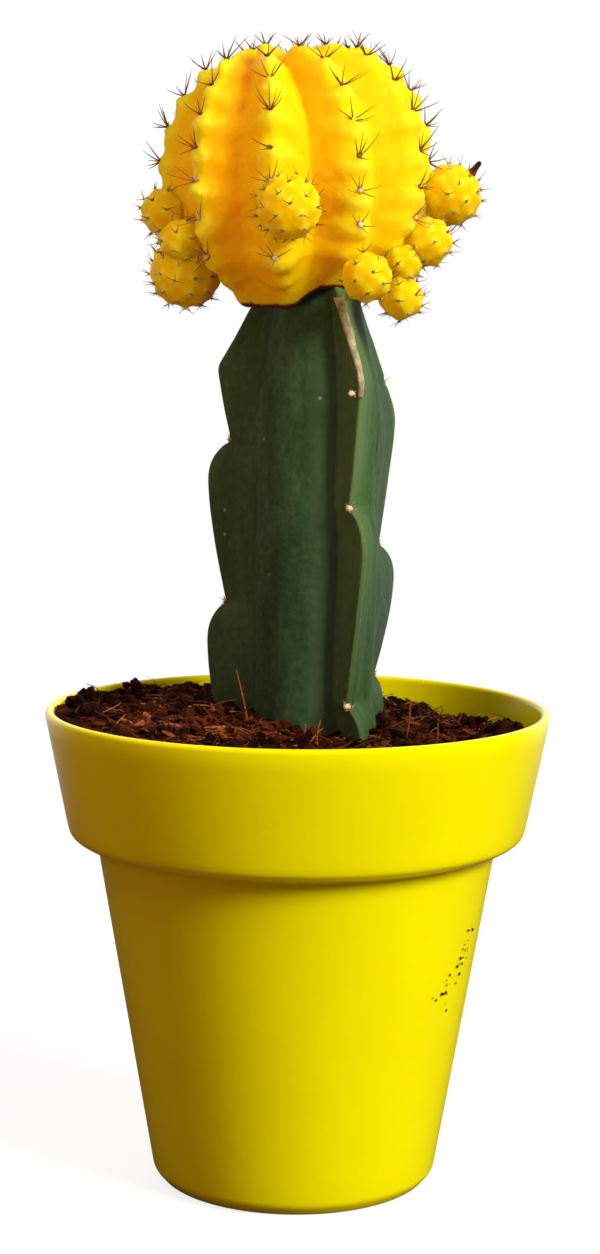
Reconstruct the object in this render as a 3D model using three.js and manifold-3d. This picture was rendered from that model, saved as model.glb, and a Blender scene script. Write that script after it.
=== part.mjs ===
// A potted moon cactus: a yellow ribbed ball with its offsets, grafted on a green three-winged stem that
// stands in coir potting mix, in a glossy yellow plastic pot with a tall collar.
// Millimetres, +Z up, the front is towards -Y, and the origin is the centre of the pot's foot.
import * as THREE from "three";
import { mergeVertices } from "three/addons/utils/BufferGeometryUtils.js";
import Module from "manifold-3d";

// The clear space kept between two pieces that rest on or in each other.
const GAP = 0.3;

// The pot.
const RIM_RADIUS = 30;
const RIM_Z = 57.1;
const LIP_RADIUS = 0.55;
const COLLAR_FOOT_RADIUS = 27.35;
const COLLAR_FOOT_Z = 43.3;
const BODY_TOP_RADIUS = 24.0;
const BODY_TOP_Z = 41.0;
const BODY_FOOT_RADIUS = 17.0;
const BODY_FOOT_Z = 1.35;
const FOOT_RADIUS = 15.8;
const FOOT_RING_WIDTH = 1.7;
const WALL = 1.1;
const FLOOR_UNDER_Z = 1.2;
const FLOOR_TOP_Z = 2.4;
const DRAIN_RADIUS = 2.0;
const DRAIN_CIRCLE_RADIUS = 8.5;
const DRAIN_COUNT = 4;
const DRAIN_SIDES = 16;
const DRAIN_LENGTH = 6;
const ROUND_STEPS = 44;

// The potting mix: its mean level, how far it falls from left to right, and its heaps and one hollow.
const SOIL_LEVEL = 55.1;
const SOIL_FALL = 0.055;
const SOIL_HEAPS = [
  { x: -9, y: -1, height: 1.5, spread: 7 },
  { x: 8, y: 11, height: 1.3, spread: 6 },
  { x: 22, y: -8, height: 0.9, spread: 4 },
  { x: 20, y: 15, height: -1.3, spread: 7 },
];
// The crumbs are two crossed sets of waves: how high each is, its two directions and where each starts.
const SOIL_CRUMB_HEIGHT = 0.5;
const SOIL_CRUMBS = [
  { height: 1, first: [1.15, 0.6, 0], second: [-0.5, 1.05, 1.3] },
  { height: 0.5, first: [2.1, -1.4, 0.7], second: [1.1, 1.9, 0] },
];
const SOIL_RINGS = 10;

// The stem: three wings, each with its direction seen from above and its sway, how much its left and right
// sides flare towards the core, its bevelled shoulder (its reach at the top and how fast that grows downwards),
// the height and reach of its notches, and the reach of the lobes between them.
const STEM_X = 2.3;
const STEM_Y = 0;
const STEM_FOOT_Z = 34;
const STEM_TOP_Z = 107.05;
const WING_EDGE_HALF = 0.34;
// A lobe swells over this share of its length, along a curve with two powers, and narrows along another.
const SWELL_SHARE = 0.24;
const SWELL_POWERS = [2.2, 0.7];
const NARROWING_POWER = 1.5;
const PLAIN_SHARE = 0.8;
// How softly a wing runs into the core, into its edge and into its bevelled shoulder.
const CORE_ROUNDING = 0.7;
const EDGE_ROUNDING = 0.3;
const SHOULDER_ROUNDING = 0.5;
const WINGS = [
  {
    angle: 169,
    sway: 0,
    turn: 0,
    flares: [0.42, 0.42],
    shoulder: [7.0, 0.56],
    notches: [[106.5, 10.4], [88.6, 10.7], [69.4, 11.2], [50.5, 11.2]],
    lobes: [12.9, 13.4, 13.4],
  },
  {
    angle: 289.5,
    sway: 2.7,
    turn: -6,
    flares: [0.08, 0.62],
    shoulder: [6.6, 0.56],
    notches: [[107.5, 11.0], [81.6, 11.3], [58.8, 11.3], [40, 11.4]],
    lobes: [13.1, 13.3, 13.3],
  },
  {
    angle: 409,
    sway: 0,
    turn: 0,
    flares: [0.56, 0.42],
    shoulder: [6.1, 0.5],
    notches: [[113, 11.3], [95.4, 11.4], [75.9, 10.9], [60, 10.4], [42, 10.2]],
    lobes: [12.6, 13.7, 13.9, 12.4],
  },
];
// A wing's turn is reached at the top, over this height.
const TURN_FROM_Z = 96;
const TURN_SPAN = 11;
// The core between the wings bulges to one side, and narrows to a share of its width at the top.
const STEM_CORE_RADIUS = 6.95;
const STEM_CORE_BULGE = 1.35;
const STEM_BULGE_ANGLE = 245;
const CORE_TOP_SHARE = 0.7;
const CORE_TOP_SPAN = 16;
// The buried foot is this share as wide as the stem above, which it reaches over this height.
const FOOT_SHARE = 0.86;
const FOOT_SPAN = 14;
// Where a section of the stem is sampled: shares of the way from a wing's edge to the next face's middle.
const SECTION_SHARES = [0, 0.05, 0.12, 0.22, 0.36, 0.62, 1];
const STEM_RING_STEP = 3.1;
const NOTCH_RINGS = [0.1, -0.7, -1.8];
const LEAST_RING_STEP = 0.5;
// Below this height the stem is a plain stump that tapers to its foot.
const STUMP_Z = 52.5;

// The ball: its centre line, and its outline along a rib from the apex to the graft.
const BALL_X = -0.8;
const BALL_Y = 0;
const BALL_OUTLINE = [
  [0, 132.4],
  [2.4, 133.4],
  [5.4, 134.0],
  [9.4, 132.4],
  [12.9, 129.0],
  [15.0, 124.7],
  [15.6, 119.6],
  [15.1, 114.2],
  [13.4, 109.4],
  [9.9, 106.7],
  [7.6, 104.6],
  [5.6, 105.6],
  [0, 106.3],
];
// Above its waist the ball leans to the right, and its crown is higher on that side.
const BALL_WAIST_Z = 119;
const BALL_LEAN = 0.02;
const CROWN_TILT = 0.04;
const CROWN_TILT_SPAN = 10;
// The ribs turn as they near the apex: by this angle at this distance from it, and by at most four times it.
const RIB_COUNT = 10;
const FIRST_RIB_ANGLE = -97;
const CROWN_TWIST = -8;
const CROWN_TWIST_AT = 14;
const MOST_TWIST = 4;
const RIB_WAVE = 0.7;
// The valleys between the ribs are shallow at the apex and run out towards the graft. A place along the
// outline is given as a share of its length.
const RIB_DEPTH = 3.0;
const APEX_DEPTH_SHARE = 0.12;
const FULL_DEPTH_AT = 0.3;
const GRAFT_DEPTH_SHARE = 0.05;
const FADING_FROM = 0.6;
const FADING_OVER = 0.24;
const CREST_ROUNDNESS = 0.22;
const TUBERCLE_HEIGHT = 0.7;
// How far the lower end of each rib is lifted.
const RIB_LIFTS = [-0.4, 2.0, 1.8, 0.9, 0.4, 0.5, 0.5, 1.4, 2.8, -0.3];
const LIFT_FROM = 0.5;
const LIFT_OVER = 0.3;
const LIFT_END = 0.97;
const LIFT_END_OVER = 0.12;
// The areoles along a rib, and how far the first one and each of them strays.
const AREOLE_SPACING = 4.05;
const FIRST_AREOLE = 2.6;
const LAST_AREOLE = 35;
const RIB_STRAY = 1.5;
const AREOLE_STRAY = 0.5;
// A tubercle swells most this share of the spacing below its areole, and they fade out at both ends.
const TUBERCLE_BELOW = 0.24;
const TUBERCLES_FROM = 1.5;
const TUBERCLES_FADE_IN = 3;
const TUBERCLES_END = 10;
const TUBERCLES_FADE_OUT = 4;
const BALL_COLUMNS_PER_RIB = 6;
const BALL_ROWS = 34;

// The offsets that grow from the ball: x, y and z of the middle, and the radius.
const OFFSETS = [
  [-1.5, -16.4, 115.3, 3.5],
  [17.3, 3.0, 117.7, 3.6],
  [14.4, -5.2, 112.0, 2.8],
  [7.3, -12.6, 107.8, 2.8],
  [11.4, -7.2, 105.6, 2.5],
  [11.4, -6.4, 109.4, 2.3],
  [-13.3, -4.6, 108.4, 4.1],
  [-13.7, -7.0, 111.8, 2.5],
  [-16.0, -3.4, 115.2, 2.6],
  [5.4, 14.4, 110.6, 3.2],
  [-8.8, 12.8, 113.0, 3.3],
  [12.6, 9.6, 114.6, 2.5],
  [-15.0, 6.6, 112.8, 2.3],
];
// Nothing of an offset shows inside this radius and above this height.
const BALL_FLESH_RADIUS = 14.4;
const BALL_FLESH_Z = 107;
const OFFSET_CENTRE_Z = 118;
const OFFSET_LIFT_SHARE = 0.8;
const OFFSET_LOBES = 6;
const OFFSET_ROWS = 7;
const OFFSET_BUMP = 0.09;

// The spines: how many stand on an areole, their length, the radius of their root, and how far it is sunk.
const SPINES_PER_AREOLE = 3;
const SPINE_LENGTH = [2.3, 3.9];
const CROWN_SPINE_SHARE = 0.4;
const CROWN_SPAN = 11;
const OFFSET_SPINE_LENGTH = [1.0, 1.7];
const SPINE_ROOT_RADIUS = 0.15;
const SPINE_SUNK = 0.5;
const SPINE_LEAN = 0.85;
const SPINE_FAN = [-64, 14, 84];
const SPINE_FAN_STRAY = 24;
const SPINE_LEAN_STRAY = 0.3;
const SPINE_APART = 0.34;

// The dry flower stub on the right-hand offset.
const STUB = { from: [19.1, 2.8, 119.2], to: [20.8, 2.7, 121.6], root: 0.36, tip: 0.24 };

const wasm = await Module();
wasm.setup();

const TAU = 2 * Math.PI;
const radians = (degrees) => (degrees * Math.PI) / 180;
const clamp01 = (t) => Math.min(1, Math.max(0, t));
const ease = (t) => clamp01(t) ** 2 * (3 - 2 * clamp01(t));
const mix = (a, b, t) => a + (b - a) * t;

// A repeatable draw from 0 to 1 for each set of whole numbers.
function draw(a, b = 0, c = 0) {
  const s = Math.sin(a * 12.9898 + b * 78.233 + c * 37.719 + 4.1) * 43758.5453;
  return s - Math.floor(s);
}

// The larger and the smaller of two lengths, rounded where they are within k of each other.
function softMax(a, b, k) {
  const h = clamp01(0.5 + (0.5 * (a - b)) / k);
  return mix(b, a, h) + k * h * (1 - h);
}
const softMin = (a, b, k) => -softMax(-a, -b, k);

function solidFrom(geometry) {
  geometry.deleteAttribute("normal");
  geometry.deleteAttribute("uv");
  const merged = mergeVertices(geometry, 1e-4);
  const made = new wasm.Manifold(
    new wasm.Mesh({
      numProp: 3,
      vertProperties: new Float32Array(merged.attributes.position.array),
      triVerts: new Uint32Array(merged.index.array),
    }),
  );
  if (made.volume() < 0) throw new Error("a shape's faces point inwards");
  return made;
}

// The largest body of a solid: a loose crumb or the wall of a sealed hollow, left by a join, is dropped.
function largestBody(solid) {
  return solid.decompose().reduce((best, body) => (body.volume() > best.volume() ? body : best));
}

function geometryFrom(solid) {
  const mesh = solid.getMesh();
  const position = new THREE.BufferAttribute(new Float32Array(mesh.vertProperties), 3);
  const geometry = new THREE.BufferGeometry().setAttribute("position", position);
  geometry.setIndex(new THREE.BufferAttribute(new Uint32Array(mesh.triVerts), 1));
  geometry.computeVertexNormals();
  return geometry;
}

// A closed surface from rings of points, listed from the top down and each anticlockwise from above. A ring
// of one point is a pole, and an open end gets a flat fan round its middle.
function skin(rings) {
  const middle = (ring) =>
    ring.reduce((sum, p) => sum.add(p), new THREE.Vector3()).divideScalar(ring.length);
  const all = [...rings];
  if (all[0].length > 1) all.unshift([middle(all[0])]);
  if (all[all.length - 1].length > 1) all.push([middle(all[all.length - 1])]);
  const points = all.flat();
  const faces = [];
  let start = 0;
  for (let i = 0; i + 1 < all.length; i++) {
    const upper = all[i].length;
    const lower = all[i + 1].length;
    const next = start + upper;
    const count = Math.max(upper, lower);
    for (let j = 0; j < count; j++) {
      const k = (j + 1) % count;
      if (upper === 1) faces.push(start, next + j, next + k);
      else if (lower === 1) faces.push(start + j, next, start + k);
      else faces.push(start + j, next + j, next + k, start + j, next + k, start + k);
    }
    start = next;
  }
  const geometry = new THREE.BufferGeometry().setFromPoints(points);
  geometry.setIndex(faces);
  return geometry;
}

// The pot

// The outline of the pot's outer wall, from the foot up to the lip.
function potOuter() {
  return [
    [FOOT_RADIUS, 0],
    [mix(FOOT_RADIUS, BODY_FOOT_RADIUS, 0.65), BODY_FOOT_Z * 0.35],
    [BODY_FOOT_RADIUS, BODY_FOOT_Z],
    [BODY_TOP_RADIUS - 0.25, BODY_TOP_Z - 0.8],
    [BODY_TOP_RADIUS + 0.15, BODY_TOP_Z],
    [COLLAR_FOOT_RADIUS - 0.95, COLLAR_FOOT_Z - 1.4],
    [COLLAR_FOOT_RADIUS - 0.25, COLLAR_FOOT_Z - 0.8],
    [COLLAR_FOOT_RADIUS, COLLAR_FOOT_Z],
  ];
}

// The outline of the pot's inner wall, from the lip down to the floor, moved in by a clearance.
function potInner(clearance = 0) {
  const lift = clearance * 0.8;
  return [
    [RIM_RADIUS - 2 * LIP_RADIUS - clearance, RIM_Z - LIP_RADIUS],
    [COLLAR_FOOT_RADIUS - WALL - clearance, COLLAR_FOOT_Z + 0.3 + lift],
    [COLLAR_FOOT_RADIUS - WALL - 0.55 - clearance, COLLAR_FOOT_Z - 0.3 + lift],
    [BODY_TOP_RADIUS - WALL + 0.35 - clearance, BODY_TOP_Z + 1.1 + lift],
    [BODY_TOP_RADIUS - WALL - clearance, BODY_TOP_Z + 0.2 + lift],
    [BODY_FOOT_RADIUS - WALL + 0.2 - clearance, FLOOR_TOP_Z + 0.6 + lift],
    [BODY_FOOT_RADIUS - WALL - 0.4 - clearance, FLOOR_TOP_Z + clearance],
  ];
}

function potLip() {
  const steps = 4;
  return Array.from({ length: steps + 1 }, (_, i) => {
    const a = (Math.PI * i) / steps;
    return [
      RIM_RADIUS - LIP_RADIUS + LIP_RADIUS * Math.cos(a),
      RIM_Z - LIP_RADIUS + LIP_RADIUS * Math.sin(a),
    ];
  });
}

function lathe(profile) {
  const points = profile.map(([r, z]) => new THREE.Vector2(r, z));
  return new THREE.LatheGeometry(points, ROUND_STEPS).rotateX(Math.PI / 2);
}

function makePot() {
  const footInner = FOOT_RADIUS - FOOT_RING_WIDTH;
  const body = solidFrom(
    lathe([
      [0, FLOOR_UNDER_Z],
      [footInner - 0.25, FLOOR_UNDER_Z],
      [footInner, 0],
      ...potOuter(),
      ...potLip(),
      ...potInner().slice(1),
      [0, FLOOR_TOP_Z],
    ]),
  );
  let pot = body;
  for (let i = 0; i < DRAIN_COUNT; i++) {
    const a = (TAU * (i + 0.5)) / DRAIN_COUNT;
    const drain = new THREE.CylinderGeometry(DRAIN_RADIUS, DRAIN_RADIUS, DRAIN_LENGTH, DRAIN_SIDES)
      .rotateX(Math.PI / 2)
      .translate(DRAIN_CIRCLE_RADIUS * Math.cos(a), DRAIN_CIRCLE_RADIUS * Math.sin(a), FLOOR_TOP_Z);
    pot = pot.subtract(solidFrom(drain));
  }
  return geometryFrom(pot);
}

// The stem

// How far a lobe is swollen at a height, from 0 at its notch to 1, and the wing's reach there. A lobe rounds
// out quickly under its notch and narrows slowly down to the next one.
function lobeForm({ notches, lobes }, z) {
  const i = lobes.findIndex((_, k) => z <= notches[k][0] && z > notches[k + 1][0]);
  if (i < 0) return { share: PLAIN_SHARE, reach: notches[notches.length - 1][1] };
  const [upper, lower] = [notches[i], notches[i + 1]];
  const below = (upper[0] - z) / (upper[0] - lower[0]);
  const swollen = below < SWELL_SHARE;
  const share = swollen
    ? (1 - (1 - below / SWELL_SHARE) ** SWELL_POWERS[0]) ** SWELL_POWERS[1]
    : 1 - ((below - SWELL_SHARE) / (1 - SWELL_SHARE)) ** NARROWING_POWER;
  return { share, reach: mix(swollen ? upper[1] : lower[1], lobes[i], share) };
}

function wingReach(wing, z) {
  const [shoulder, slope] = wing.shoulder;
  const cut = shoulder + slope * (STEM_TOP_Z - z);
  const buried = mix(FOOT_SHARE, 1, ease((z - STEM_FOOT_Z) / FOOT_SPAN));
  return softMin(lobeForm(wing, z).reach * buried, cut, SHOULDER_ROUNDING);
}

function wingAngle(wing, z) {
  const turn = wing.turn * ease((z - TURN_FROM_Z) / TURN_SPAN);
  return radians(wing.angle + wing.sway * (lobeForm(wing, z).share * 2 - 1) + turn);
}

function coreRadius(angle, z) {
  const bulge = STEM_CORE_BULGE * Math.cos(angle - radians(STEM_BULGE_ANGLE));
  return (STEM_CORE_RADIUS + bulge) * mix(CORE_TOP_SHARE, 1, ease((STEM_TOP_Z - z) / CORE_TOP_SPAN));
}

// One ring of the stem at a height, grown outwards by a clearance.
function stemRing(z, grown) {
  const ring = [];
  WINGS.forEach((wing, i) => {
    const next = WINGS[(i + 1) % WINGS.length];
    const from = wingAngle(wing, z);
    let to = wingAngle(next, z);
    if (to < from) to += TAU;
    const half = (to - from) / 2;
    const add = (origin, { flares }, reach, away) => {
      const turned = Math.abs(away);
      const flare = flares[away < 0 ? 0 : 1];
      const flank = (WING_EDGE_HALF + flare * reach) / (Math.sin(turned) + flare * Math.cos(turned));
      const a = origin + away;
      const side = softMax(flank, coreRadius(a, z), CORE_ROUNDING);
      const r = softMin(side, reach, EDGE_ROUNDING) + grown;
      ring.push(new THREE.Vector3(STEM_X + r * Math.cos(a), STEM_Y + r * Math.sin(a), z));
    };
    SECTION_SHARES.slice(0, -1).forEach((s) => add(from, wing, wingReach(wing, z), s * half));
    add(from, wing, mix(wingReach(wing, z), wingReach(next, z), 0.5), half);
    SECTION_SHARES.slice(1, -1)
      .reverse()
      .forEach((s) => add(to, next, wingReach(next, z), -s * half));
  });
  return ring;
}

// The heights of the stem's rings, from the top down: closer together at the notches, and none in the stump.
function stemHeights() {
  const heights = [STEM_TOP_Z, STUMP_Z];
  for (let z = STEM_TOP_Z; z > STUMP_Z; z -= STEM_RING_STEP) heights.push(z);
  WINGS.forEach(({ notches }) =>
    notches.forEach(([z]) => heights.push(...NOTCH_RINGS.map((step) => z + step))),
  );
  const inside = heights.filter((z) => z <= STEM_TOP_Z && z >= STUMP_Z).sort((a, b) => b - a);
  const spaced = inside.filter((z, i) => i === 0 || inside[i - 1] - z > LEAST_RING_STEP);
  return [...spaced, STEM_FOOT_Z];
}

// The stem's solid, or the same solid grown by a clearance, which cuts its place in its neighbours.
function stemSolid(grown = 0) {
  const rings = stemHeights().map((z) => stemRing(z, grown));
  rings[0].forEach((p) => (p.z += grown));
  rings[rings.length - 1].forEach((p) => (p.z -= grown));
  return solidFrom(skin(rings));
}

// The potting mix

function soilHeight(x, y) {
  const heaps = SOIL_HEAPS.reduce((sum, heap) => {
    const away = ((x - heap.x) ** 2 + (y - heap.y) ** 2) / heap.spread ** 2;
    return sum + heap.height * Math.exp(-away / 2);
  }, 0);
  const wave = ([alongX, alongY, start]) => Math.sin(alongX * x + alongY * y + start);
  const crumbs = SOIL_CRUMBS.reduce(
    (sum, { height, first, second }) => sum + height * wave(first) * wave(second),
    0,
  );
  return SOIL_LEVEL - SOIL_FALL * x + heaps + SOIL_CRUMB_HEIGHT * crumbs;
}

// The radius of the potting mix against the pot's wall at a height.
function soilEdge(z) {
  const [top, foot] = potInner(GAP);
  return mix(foot[0], top[0], (z - foot[1]) / (top[1] - foot[1]));
}

function makeSoil() {
  const angles = Array.from({ length: ROUND_STEPS }, (_, i) => (TAU * i) / ROUND_STEPS);
  const rim = soilEdge(SOIL_LEVEL);
  const rings = [[new THREE.Vector3(0, 0, soilHeight(0, 0))]];
  for (let i = 1; i <= SOIL_RINGS; i++) {
    const share = i / SOIL_RINGS;
    rings.push(
      angles.map((a) => {
        const z = soilHeight(rim * share * Math.cos(a), rim * share * Math.sin(a));
        const r = i === SOIL_RINGS ? soilEdge(z) : rim * share;
        return new THREE.Vector3(r * Math.cos(a), r * Math.sin(a), z);
      }),
    );
  }
  potInner(GAP)
    .slice(1)
    .forEach(([r, z]) =>
      rings.push(angles.map((a) => new THREE.Vector3(r * Math.cos(a), r * Math.sin(a), z))),
    );
  return geometryFrom(solidFrom(skin(rings)).subtract(stemSolid(GAP)));
}

// The ball

const outline = new THREE.SplineCurve(BALL_OUTLINE.map(([r, z]) => new THREE.Vector2(r, z)));
outline.arcLengthDivisions = 400;
const OUTLINE_LENGTH = outline.getLength();

// How deep the valleys are at a distance along the outline from the apex.
function valleyDepth(s) {
  const t = s / OUTLINE_LENGTH;
  const opening = mix(APEX_DEPTH_SHARE, 1, ease(t / FULL_DEPTH_AT));
  return RIB_DEPTH * opening * mix(1, GRAFT_DEPTH_SHARE, ease((t - FADING_FROM) / FADING_OVER));
}

// The distance from the apex of one areole of one rib.
function areoleDistance(rib, j) {
  const stray = RIB_STRAY * (draw(rib, 7) - 0.5) + AREOLE_STRAY * (draw(rib, j, 3) - 0.5);
  return FIRST_AREOLE + AREOLE_SPACING * j + stray;
}

function areoleCount(rib) {
  return Math.floor((LAST_AREOLE - areoleDistance(rib, 0)) / AREOLE_SPACING) + 1;
}

// The swelling under each areole of a rib, from 0 to 1.
function tubercle(rib, s) {
  const u = (s - areoleDistance(rib, 0)) / AREOLE_SPACING;
  const near = Math.round(u);
  const from = (s - areoleDistance(rib, near)) / AREOLE_SPACING;
  const start = ease((s - TUBERCLES_FROM) / TUBERCLES_FADE_IN);
  const end = ease((OUTLINE_LENGTH - TUBERCLES_END - s) / TUBERCLES_FADE_OUT);
  return start * end * (0.5 + 0.5 * Math.cos(TAU * (from - TUBERCLE_BELOW)));
}

// The angle seen from above of a place among the ribs, counted in ribs, at a distance from the apex.
function ribAngle(turns, s) {
  const even = radians(FIRST_RIB_ANGLE) + (TAU * turns) / RIB_COUNT;
  const waves = Math.sin(3 * even + s / 7) + 0.7 * Math.sin(5 * even - s / 5 + 1);
  const twist = CROWN_TWIST * Math.min(MOST_TWIST, (CROWN_TWIST_AT / s) ** 2);
  return even + radians(RIB_WAVE * waves + twist);
}

// How far the lower end of the ribs is lifted, eased from each rib to the next.
function ribLift(turns, s) {
  const here = Math.floor(turns);
  const [lift, next] = [here, here + 1].map((rib) => RIB_LIFTS[rib % RIB_COUNT]);
  const t = s / OUTLINE_LENGTH;
  const share = ease((t - LIFT_FROM) / LIFT_OVER) * ease((LIFT_END - t) / LIFT_END_OVER);
  return mix(lift, next, ease(turns - here)) * share;
}

// A point of the ball's skin, at a place among the ribs and a distance along the outline from the apex.
function ballPoint(turns, s) {
  const angle = ribAngle(turns, s);
  const t = clamp01(s / OUTLINE_LENGTH);
  const at = outline.getPointAt(t);
  const along = outline.getTangentAt(t);
  const rib = Math.round(turns);
  const phase = turns - rib;
  // Flat flanks from one furrow to the next, rounded over at the crest.
  const blunt = CREST_ROUNDNESS;
  const valley = (Math.hypot(2 * phase, blunt) - blunt) / (Math.hypot(1, blunt) - blunt);
  const crest = Math.cos(Math.PI * phase) ** 2;
  const swelling = TUBERCLE_HEIGHT * crest ** 1.5 * tubercle(rib % RIB_COUNT, s);
  const sunk = valleyDepth(s) * valley - swelling;
  // The outline runs down from the apex, so its outward normal is its tangent turned a quarter.
  const r = at.x + sunk * along.y;
  const z = at.y - sunk * along.x + ribLift(turns, s);
  const over = Math.max(0, z - BALL_WAIST_Z);
  const x = r * Math.cos(angle) + BALL_LEAN * over;
  const tilt = CROWN_TILT * x * ease(over / CROWN_TILT_SPAN);
  return new THREE.Vector3(BALL_X + x, BALL_Y + r * Math.sin(angle), z + tilt);
}

function ballBody() {
  const columns = RIB_COUNT * BALL_COLUMNS_PER_RIB;
  const rings = [];
  for (let i = 0; i <= BALL_ROWS; i++) {
    const s = (OUTLINE_LENGTH * i) / BALL_ROWS;
    if (i === 0 || i === BALL_ROWS) {
      const z = outline.getPointAt(i / BALL_ROWS).y;
      const lean = BALL_LEAN * Math.max(0, z - BALL_WAIST_Z);
      rings.push([new THREE.Vector3(BALL_X + lean, BALL_Y, z)]);
      continue;
    }
    rings.push(
      Array.from({ length: columns }, (_, j) => ballPoint(j / BALL_COLUMNS_PER_RIB, s)),
    );
  }
  return solidFrom(skin(rings));
}

// A frame whose third axis is a direction, with its second axis turned as far up as it can be.
function frameAlong(direction) {
  const n = direction.clone().normalize();
  const up = new THREE.Vector3(0, 0, 1).addScaledVector(n, -n.z).normalize();
  return { n, up, side: up.clone().cross(n) };
}

function offsetAxis([x, y, z]) {
  const lift = (z - OFFSET_CENTRE_Z) * OFFSET_LIFT_SHARE;
  return new THREE.Vector3(x - BALL_X, y - BALL_Y, lift).normalize();
}

// A point of one offset's skin, at an angle round its axis and an angle away from its tip. Its tubercles
// stand in rows, each row turned half a step from the last.
function offsetPoint(offset, around, away) {
  const [x, y, z, radius] = offset;
  const { n, up, side } = frameAlong(offsetAxis(offset));
  const bump = Math.cos(OFFSET_LOBES * around) * Math.cos(OFFSET_ROWS * away);
  const r = radius * (1 + OFFSET_BUMP * bump);
  return new THREE.Vector3(x, y, z)
    .addScaledVector(n, r * Math.cos(away))
    .addScaledVector(side, r * Math.sin(away) * Math.cos(around))
    .addScaledVector(up, r * Math.sin(away) * Math.sin(around));
}

function offsetBody(offset) {
  const columns = 2 * OFFSET_LOBES;
  const rings = [];
  for (let i = 0; i <= OFFSET_ROWS; i++) {
    const away = (Math.PI * i) / OFFSET_ROWS;
    const count = i === 0 || i === OFFSET_ROWS ? 1 : columns;
    rings.push(
      Array.from({ length: count }, (_, j) => offsetPoint(offset, (TAU * j) / columns, away)),
    );
  }
  return solidFrom(skin(rings));
}

// A slim three-sided needle, or a stub where it has a radius at its tip.
function needle(root, tip, rootRadius, tipRadius = 0) {
  const { up, side } = frameAlong(tip.clone().sub(root));
  const corners = (centre, radius) =>
    [0, 1, 2].map((i) =>
      centre
        .clone()
        .addScaledVector(side, radius * Math.cos((TAU * i) / 3))
        .addScaledVector(up, radius * Math.sin((TAU * i) / 3)),
    );
  const end = tipRadius > 0 ? corners(tip, tipRadius) : [tip];
  return solidFrom(skin([end, corners(root, rootRadius)]));
}

// The spines of one areole: they stand on the skin in a fan that opens towards the apex.
function areoleSpines(at, normal, lengths, count, seed) {
  const { n, up, side } = frameAlong(normal);
  return Array.from({ length: count }, (_, i) => {
    const fan = radians(SPINE_FAN[i] + SPINE_FAN_STRAY * (draw(seed, i, 1) - 0.5));
    const lean = SPINE_LEAN * (1 + SPINE_LEAN_STRAY * (draw(seed, i, 2) - 0.5));
    const outwards = up.clone().multiplyScalar(Math.cos(fan)).addScaledVector(side, Math.sin(fan));
    const direction = n.clone().addScaledVector(outwards, lean).normalize();
    const foot = at.clone().addScaledVector(outwards, SPINE_APART);
    const root = foot.clone().addScaledVector(direction, -SPINE_SUNK);
    const tip = foot.clone().addScaledVector(direction, mix(...lengths, draw(seed, i, 5)));
    return needle(root, tip, SPINE_ROOT_RADIUS);
  });
}

function ballSpines() {
  const spines = [];
  for (let rib = 0; rib < RIB_COUNT; rib++) {
    for (let j = 0; j < areoleCount(rib); j++) {
      const s = areoleDistance(rib, j);
      const angle = ribAngle(rib, s);
      const at = ballPoint(rib, s);
      const covered = OFFSETS.some(([x, y, z, r]) => at.distanceTo(new THREE.Vector3(x, y, z)) < r);
      if (covered) continue;
      const down = ballPoint(rib, s + 0.4).sub(ballPoint(rib, s - 0.4));
      const across = new THREE.Vector3(-Math.sin(angle), Math.cos(angle), 0);
      const normal = across.cross(down).negate().normalize();
      const share = mix(CROWN_SPINE_SHARE, 1, ease(s / CROWN_SPAN));
      const lengths = SPINE_LENGTH.map((length) => length * share);
      spines.push(...areoleSpines(at, normal, lengths, SPINES_PER_AREOLE, rib * 20 + j));
    }
  }
  return spines;
}

function offsetSpines(offset, index) {
  const spines = [];
  const middle = new THREE.Vector3(...offset.slice(0, 3));
  for (let ring = 1; ring < 3; ring++) {
    for (let j = 0; j < OFFSET_LOBES; j += 2) {
      const around = (TAU * (j + 0.5 * ring)) / OFFSET_LOBES;
      const at = offsetPoint(offset, around, (Math.PI * ring) / OFFSET_ROWS);
      const inBall = Math.hypot(at.x - BALL_X, at.y - BALL_Y) < BALL_FLESH_RADIUS && at.z > BALL_FLESH_Z;
      if (inBall) continue;
      const seed = 300 + index * 20 + ring * 7 + j;
      spines.push(...areoleSpines(at, at.clone().sub(middle), OFFSET_SPINE_LENGTH, 1, seed));
    }
  }
  return spines;
}

function makeScion() {
  const flesh = [ballBody(), ...OFFSETS.map(offsetBody)];
  const body = wasm.Manifold.union(flesh).subtract(stemSolid(GAP));
  const stub = needle(
    new THREE.Vector3(...STUB.from),
    new THREE.Vector3(...STUB.to),
    STUB.root,
    STUB.tip,
  );
  const needles = [...ballSpines(), ...OFFSETS.flatMap(offsetSpines), stub];
  return geometryFrom(largestBody(wasm.Manifold.union([body, ...needles])));
}

// The parts

const PARTS = [
  { name: "pot", make: makePot, colour: 0xf2dc00, roughness: 0.28 },
  { name: "soil", make: makeSoil, colour: 0x4a2413, roughness: 0.95 },
  { name: "rootstock", make: () => geometryFrom(stemSolid()), colour: 0x2c4a28, roughness: 0.45 },
  { name: "scion", make: makeScion, colour: 0xf7c400, roughness: 0.4 },
];

const cactus = new THREE.Group();
for (const { name, make, colour, roughness } of PARTS) {
  const material = new THREE.MeshStandardMaterial({ color: colour, roughness, metalness: 0 });
  const mesh = new THREE.Mesh(make(), material);
  mesh.name = name;
  cactus.add(mesh);
}

export default cactus;
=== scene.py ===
"""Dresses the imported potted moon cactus: glossy yellow pot, coir mix, green winged stem and yellow ball.

Metres, +Z up, the front is towards -Y. Angles seen from above run anticlockwise from +X.
"""
import math

import bpy
import numpy as np
from mathutils import Matrix, Vector, noise


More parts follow.
